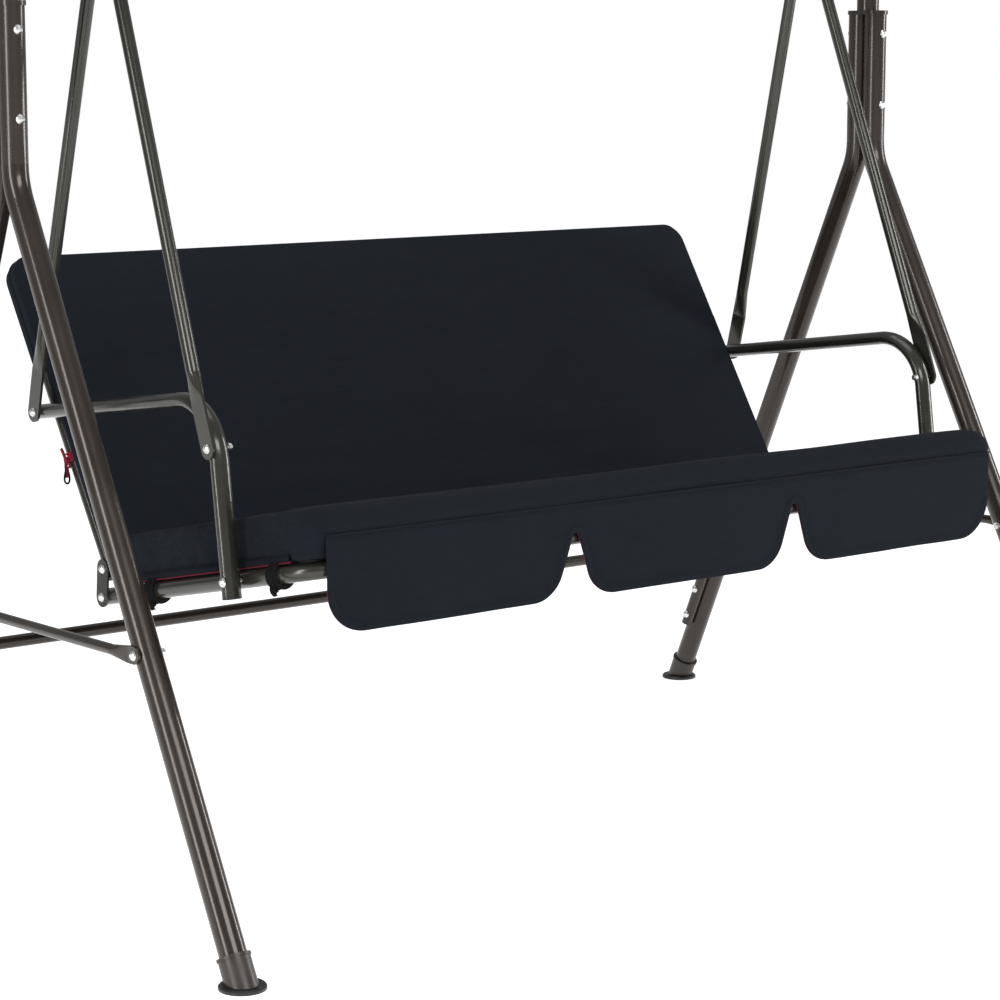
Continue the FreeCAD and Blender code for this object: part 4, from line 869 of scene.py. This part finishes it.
def seat_seams():
    """A hem along the foot of the pad's sides, with its edge binding showing under it."""
    for side, sign in SIDES.items():
        foot = [on_seat(sign * (PAD_HALF - 0.0012), SIDE_HEM_REAR + SIDE_HEM_LONG * n / 60,
                        SIDE_HEM_UP - PAD_THICK) for n in range(61)]
        hem = sweep(f"{side}_seat_hem", foot, slab_section(0.0030, 0.009), COVER, up=OVER_SEAT)
        finish(hem)
        line = [point + OVER_SEAT * 0.0026 + Vector((sign * 0.0016, 0, 0)) for point in foot]
        finish(stitches(f"{side}_seat_stitches", line, Vector((sign, 0, 0)), THREAD))
        low = [point - OVER_SEAT * 0.0052 for point in foot]
        finish(sweep(f"{side}_seat_binding", low, circle(0.0011, 6), BINDING))


RAIL_HALF = 0.666
RAIL_DEEP = 0.084
RAIL_DIA = 0.025
STRAP_WIDE = 0.016
STRAP_THICK = 0.0016
STRAP_PLACES = (0.118, 0.440)
KNOT_ANGLE = math.radians(-52)


def strap(name, sign, forward):
    """A flat webbing band wrapped round the side rail, with its knotted ends just below."""
    across = Vector((sign, 0, 0))
    middle = on_seat(sign * RAIL_HALF, forward, -RAIL_DEEP)
    radius = RAIL_DIA / 2 + STRAP_THICK / 2 + 0.0004
    ring = []
    for step in range(36):
        angle = math.tau * step / 36
        bulge = radius + 0.0003 * math.sin(3 * angle + forward * 40)
        ring.append(middle + bulge * (math.cos(angle) * across + math.sin(angle) * OVER_SEAT))
    band = sweep(name, ring, slab_section(STRAP_THICK, STRAP_WIDE), TAPE, closed=True,
                 up=TO_FRONT)
    tied = middle + (radius + 0.001) * (math.cos(KNOT_ANGLE) * across
                                        + math.sin(KNOT_ANGLE) * OVER_SEAT)
    tails = []
    for number, lean in enumerate((0.55, 0.25)):
        start = tied + TO_FRONT * (0.003 * number - 0.0015)
        line = [start + TO_FRONT * (lean * 0.016 * t * t)
                + Vector((sign * (0.0035 * t + 0.0020 * math.sin(3 * t)), 0, -0.0125 * t))
                for t in (n / 12 for n in range(13))]
        section = slab_section(0.0013, 0.010 - 0.002 * number)
        tails.append(sweep(f"{name}_tail_{number}", line, section, TAPE, up=TO_FRONT))
    knot = lump(f"{name}_knot", tied + across * 0.0008, (0.0042, 0.0062, 0.0046), TAPE,
                11 + forward)
    for piece in (band, *tails, knot):
        finish(piece)
    return band


def straps():
    for side, sign in SIDES.items():
        bands = [strap(f"{side}_strap_{n}", sign, place) for n, place in enumerate(STRAP_PLACES)]
        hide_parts(f"{side}_seat_straps")


TIE_HIGH = 0.136
BACK_TUBE_HALF = 0.666
BACK_TUBE = 0.022
BACK_TUBE_DEEP = 0.021
TIE_TURNS = 2
TIE_RISE = 0.0055
RIBBON_WIDE = 0.0080
RIBBON_THICK = 0.0009

# The cord loop's route under the knot, left side, in metres from its start.
LOOP_START = (-0.685, 0.1868, 0.5882)
LOOP = [(0, 0, 0), (-0.001, -0.001, -0.006), (-0.0035, -0.002, -0.013), (-0.005, -0.003, -0.021),
        (-0.0015, -0.004, -0.0265), (0.004, -0.003, -0.024), (0.005, -0.0015, -0.016),
        (0.0035, -0.0005, -0.008), (0.003, 0.001, -0.001)]


def tie(side, sign):
    """A ribbon wound twice round the backrest tube and knotted, with short ends."""
    across = Vector((sign, 0, 0))
    middle = on_back(sign * BACK_TUBE_HALF, BACK_TUBE_DEEP, TIE_HIGH)
    turns = []
    for share in (step / 72 for step in range(73)):
        angle = math.tau * TIE_TURNS * share
        radius = BACK_TUBE / 2 + 0.0012 + 0.0005 * share
        turns.append(middle + radius * (math.cos(angle) * across + math.sin(angle) * INTO_BACK)
                     + TIE_RISE * TIE_TURNS * share * UP_BACK)
    section = slab_section(RIBBON_THICK, RIBBON_WIDE)
    wrap = sweep(f"{side}_ribbon", turns, section, BINDING, up=UP_BACK)
    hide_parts(f"{side}_back_tie")
    spot = middle + across * (BACK_TUBE / 2 + 0.0052) + UP_BACK * 0.004
    knot = lump(f"{side}_ribbon_knot", spot, (0.0046, 0.0044, 0.0050), BINDING, 3.0)
    ends = []
    for number, (lean, reach) in enumerate(((-0.006, 0.020), (0.010, -0.022))):
        line = [spot + Vector((sign * (0.001 + 0.003 * t), lean * t, -reach * t - 0.003 * t * t))
                + UP_BACK * 0.002 * math.sin(4 * t) for t in (n / 10 for n in range(11))]
        section = slab_section(RIBBON_THICK, 0.0045)
        ends.append(sweep(f"{side}_ribbon_end_{number}", line, section, BINDING,
                          up=Vector((0, 1, 0.2))))
    for piece in (wrap, knot, *ends):
        finish(piece)


def loop(side, sign):
    """The loop of cord that hangs from the ribbon's knot."""
    curve = bpy.data.curves.new(f"{side}_loop", "CURVE")
    curve.dimensions = "3D"
    line = curve.splines.new("NURBS")
    line.points.add(len(LOOP) - 1)
    for point, (x, y, z) in zip(line.points, LOOP):
        point.co = (-sign * (LOOP_START[0] + x), LOOP_START[1] + y, LOOP_START[2] + z, 1)
    line.order_u = 3
    line.use_endpoint_u = True
    line.resolution_u = 12
    curve.bevel_depth = 0.0015
    curve.bevel_resolution = 4
    curve.use_fill_caps = True
    curve.materials.append(TAPE)
    cord = bpy.data.objects.new(f"{side}_loop", curve)
    bpy.context.scene.collection.objects.link(cord)
    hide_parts(f"{side}_tie_loop")
    finish(cord)


# ---------------------------------------------------------------- support sling

SLING_HALF = 0.6575
SLING_FRONT = 0.505
SLING_REAR = 0.035
SLING_UP = -0.0703
SLING_THICK = 0.0014
HEM_IN = 0.012


def across_sling(forward, columns):
    """Points from side to side over the sling."""
    return [on_seat(SLING_HALF * (2 * n / columns - 1), forward, SLING_UP)
            for n in range(columns + 1)]


def down_sling(x):
    """Points from rear to front over the sling."""
    return [on_seat(x, SLING_REAR + (SLING_FRONT - SLING_REAR) * n / 60, SLING_UP)
            for n in range(61)]


def sling():
    """A taut panel of open-weave fabric on top of the rails, its edges in stitched hems."""
    columns, rows = 81, 31
    points = []
    for r in range(rows):
        forward = SLING_REAR + (SLING_FRONT - SLING_REAR) * r / (rows - 1)
        for c in range(columns):
            x = SLING_HALF * (2 * c / (columns - 1) - 1)
            points.append(on_seat(x, forward, SLING_UP + ripple((x, forward, 0), 0.12, 0.0004)))
    panel = new_piece("seat_support", points, grid_faces(rows, columns), SLING)
    solidify(panel, SLING_THICK)
    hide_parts("seat_sling")
    finish(panel)
    lines = {
        "left": down_sling(HEM_IN - SLING_HALF),
        "right": down_sling(SLING_HALF - HEM_IN),
        "front": across_sling(SLING_FRONT - HEM_IN, 80),
        "rear": across_sling(SLING_REAR + HEM_IN, 80)}
    edges = []
    for name, line in lines.items():
        hem = sweep(f"support_{name}_hem", line, slab_section(2 * HEM_IN, 0.0022), SLING,
                    up=OVER_SEAT)
        under = [point - OVER_SEAT * 0.0011 for point in line]
        seam = stitches(f"support_{name}_stitches", under, -OVER_SEAT, THREAD, 0.006, 0.004)
        edges += [finish(hem), finish(seam)]


# ---------------------------------------------------------------- build

FLOOR_RADIUS = 40


def floor():
    """A wide round white ground."""
    rim = [(x, y, 0) for x, y in circle(FLOOR_RADIUS, 64)]
    new_piece("floor", rim, [tuple(range(64))], FLOOR, False)


camera()
studio()
floor()
dress_frame()
back_cover()
back_seams()
seat_pad()
seat_seams()
valance()
sling()
straps()
for side, sign in SIDES.items():
    tie(side, sign)
    loop(side, sign)
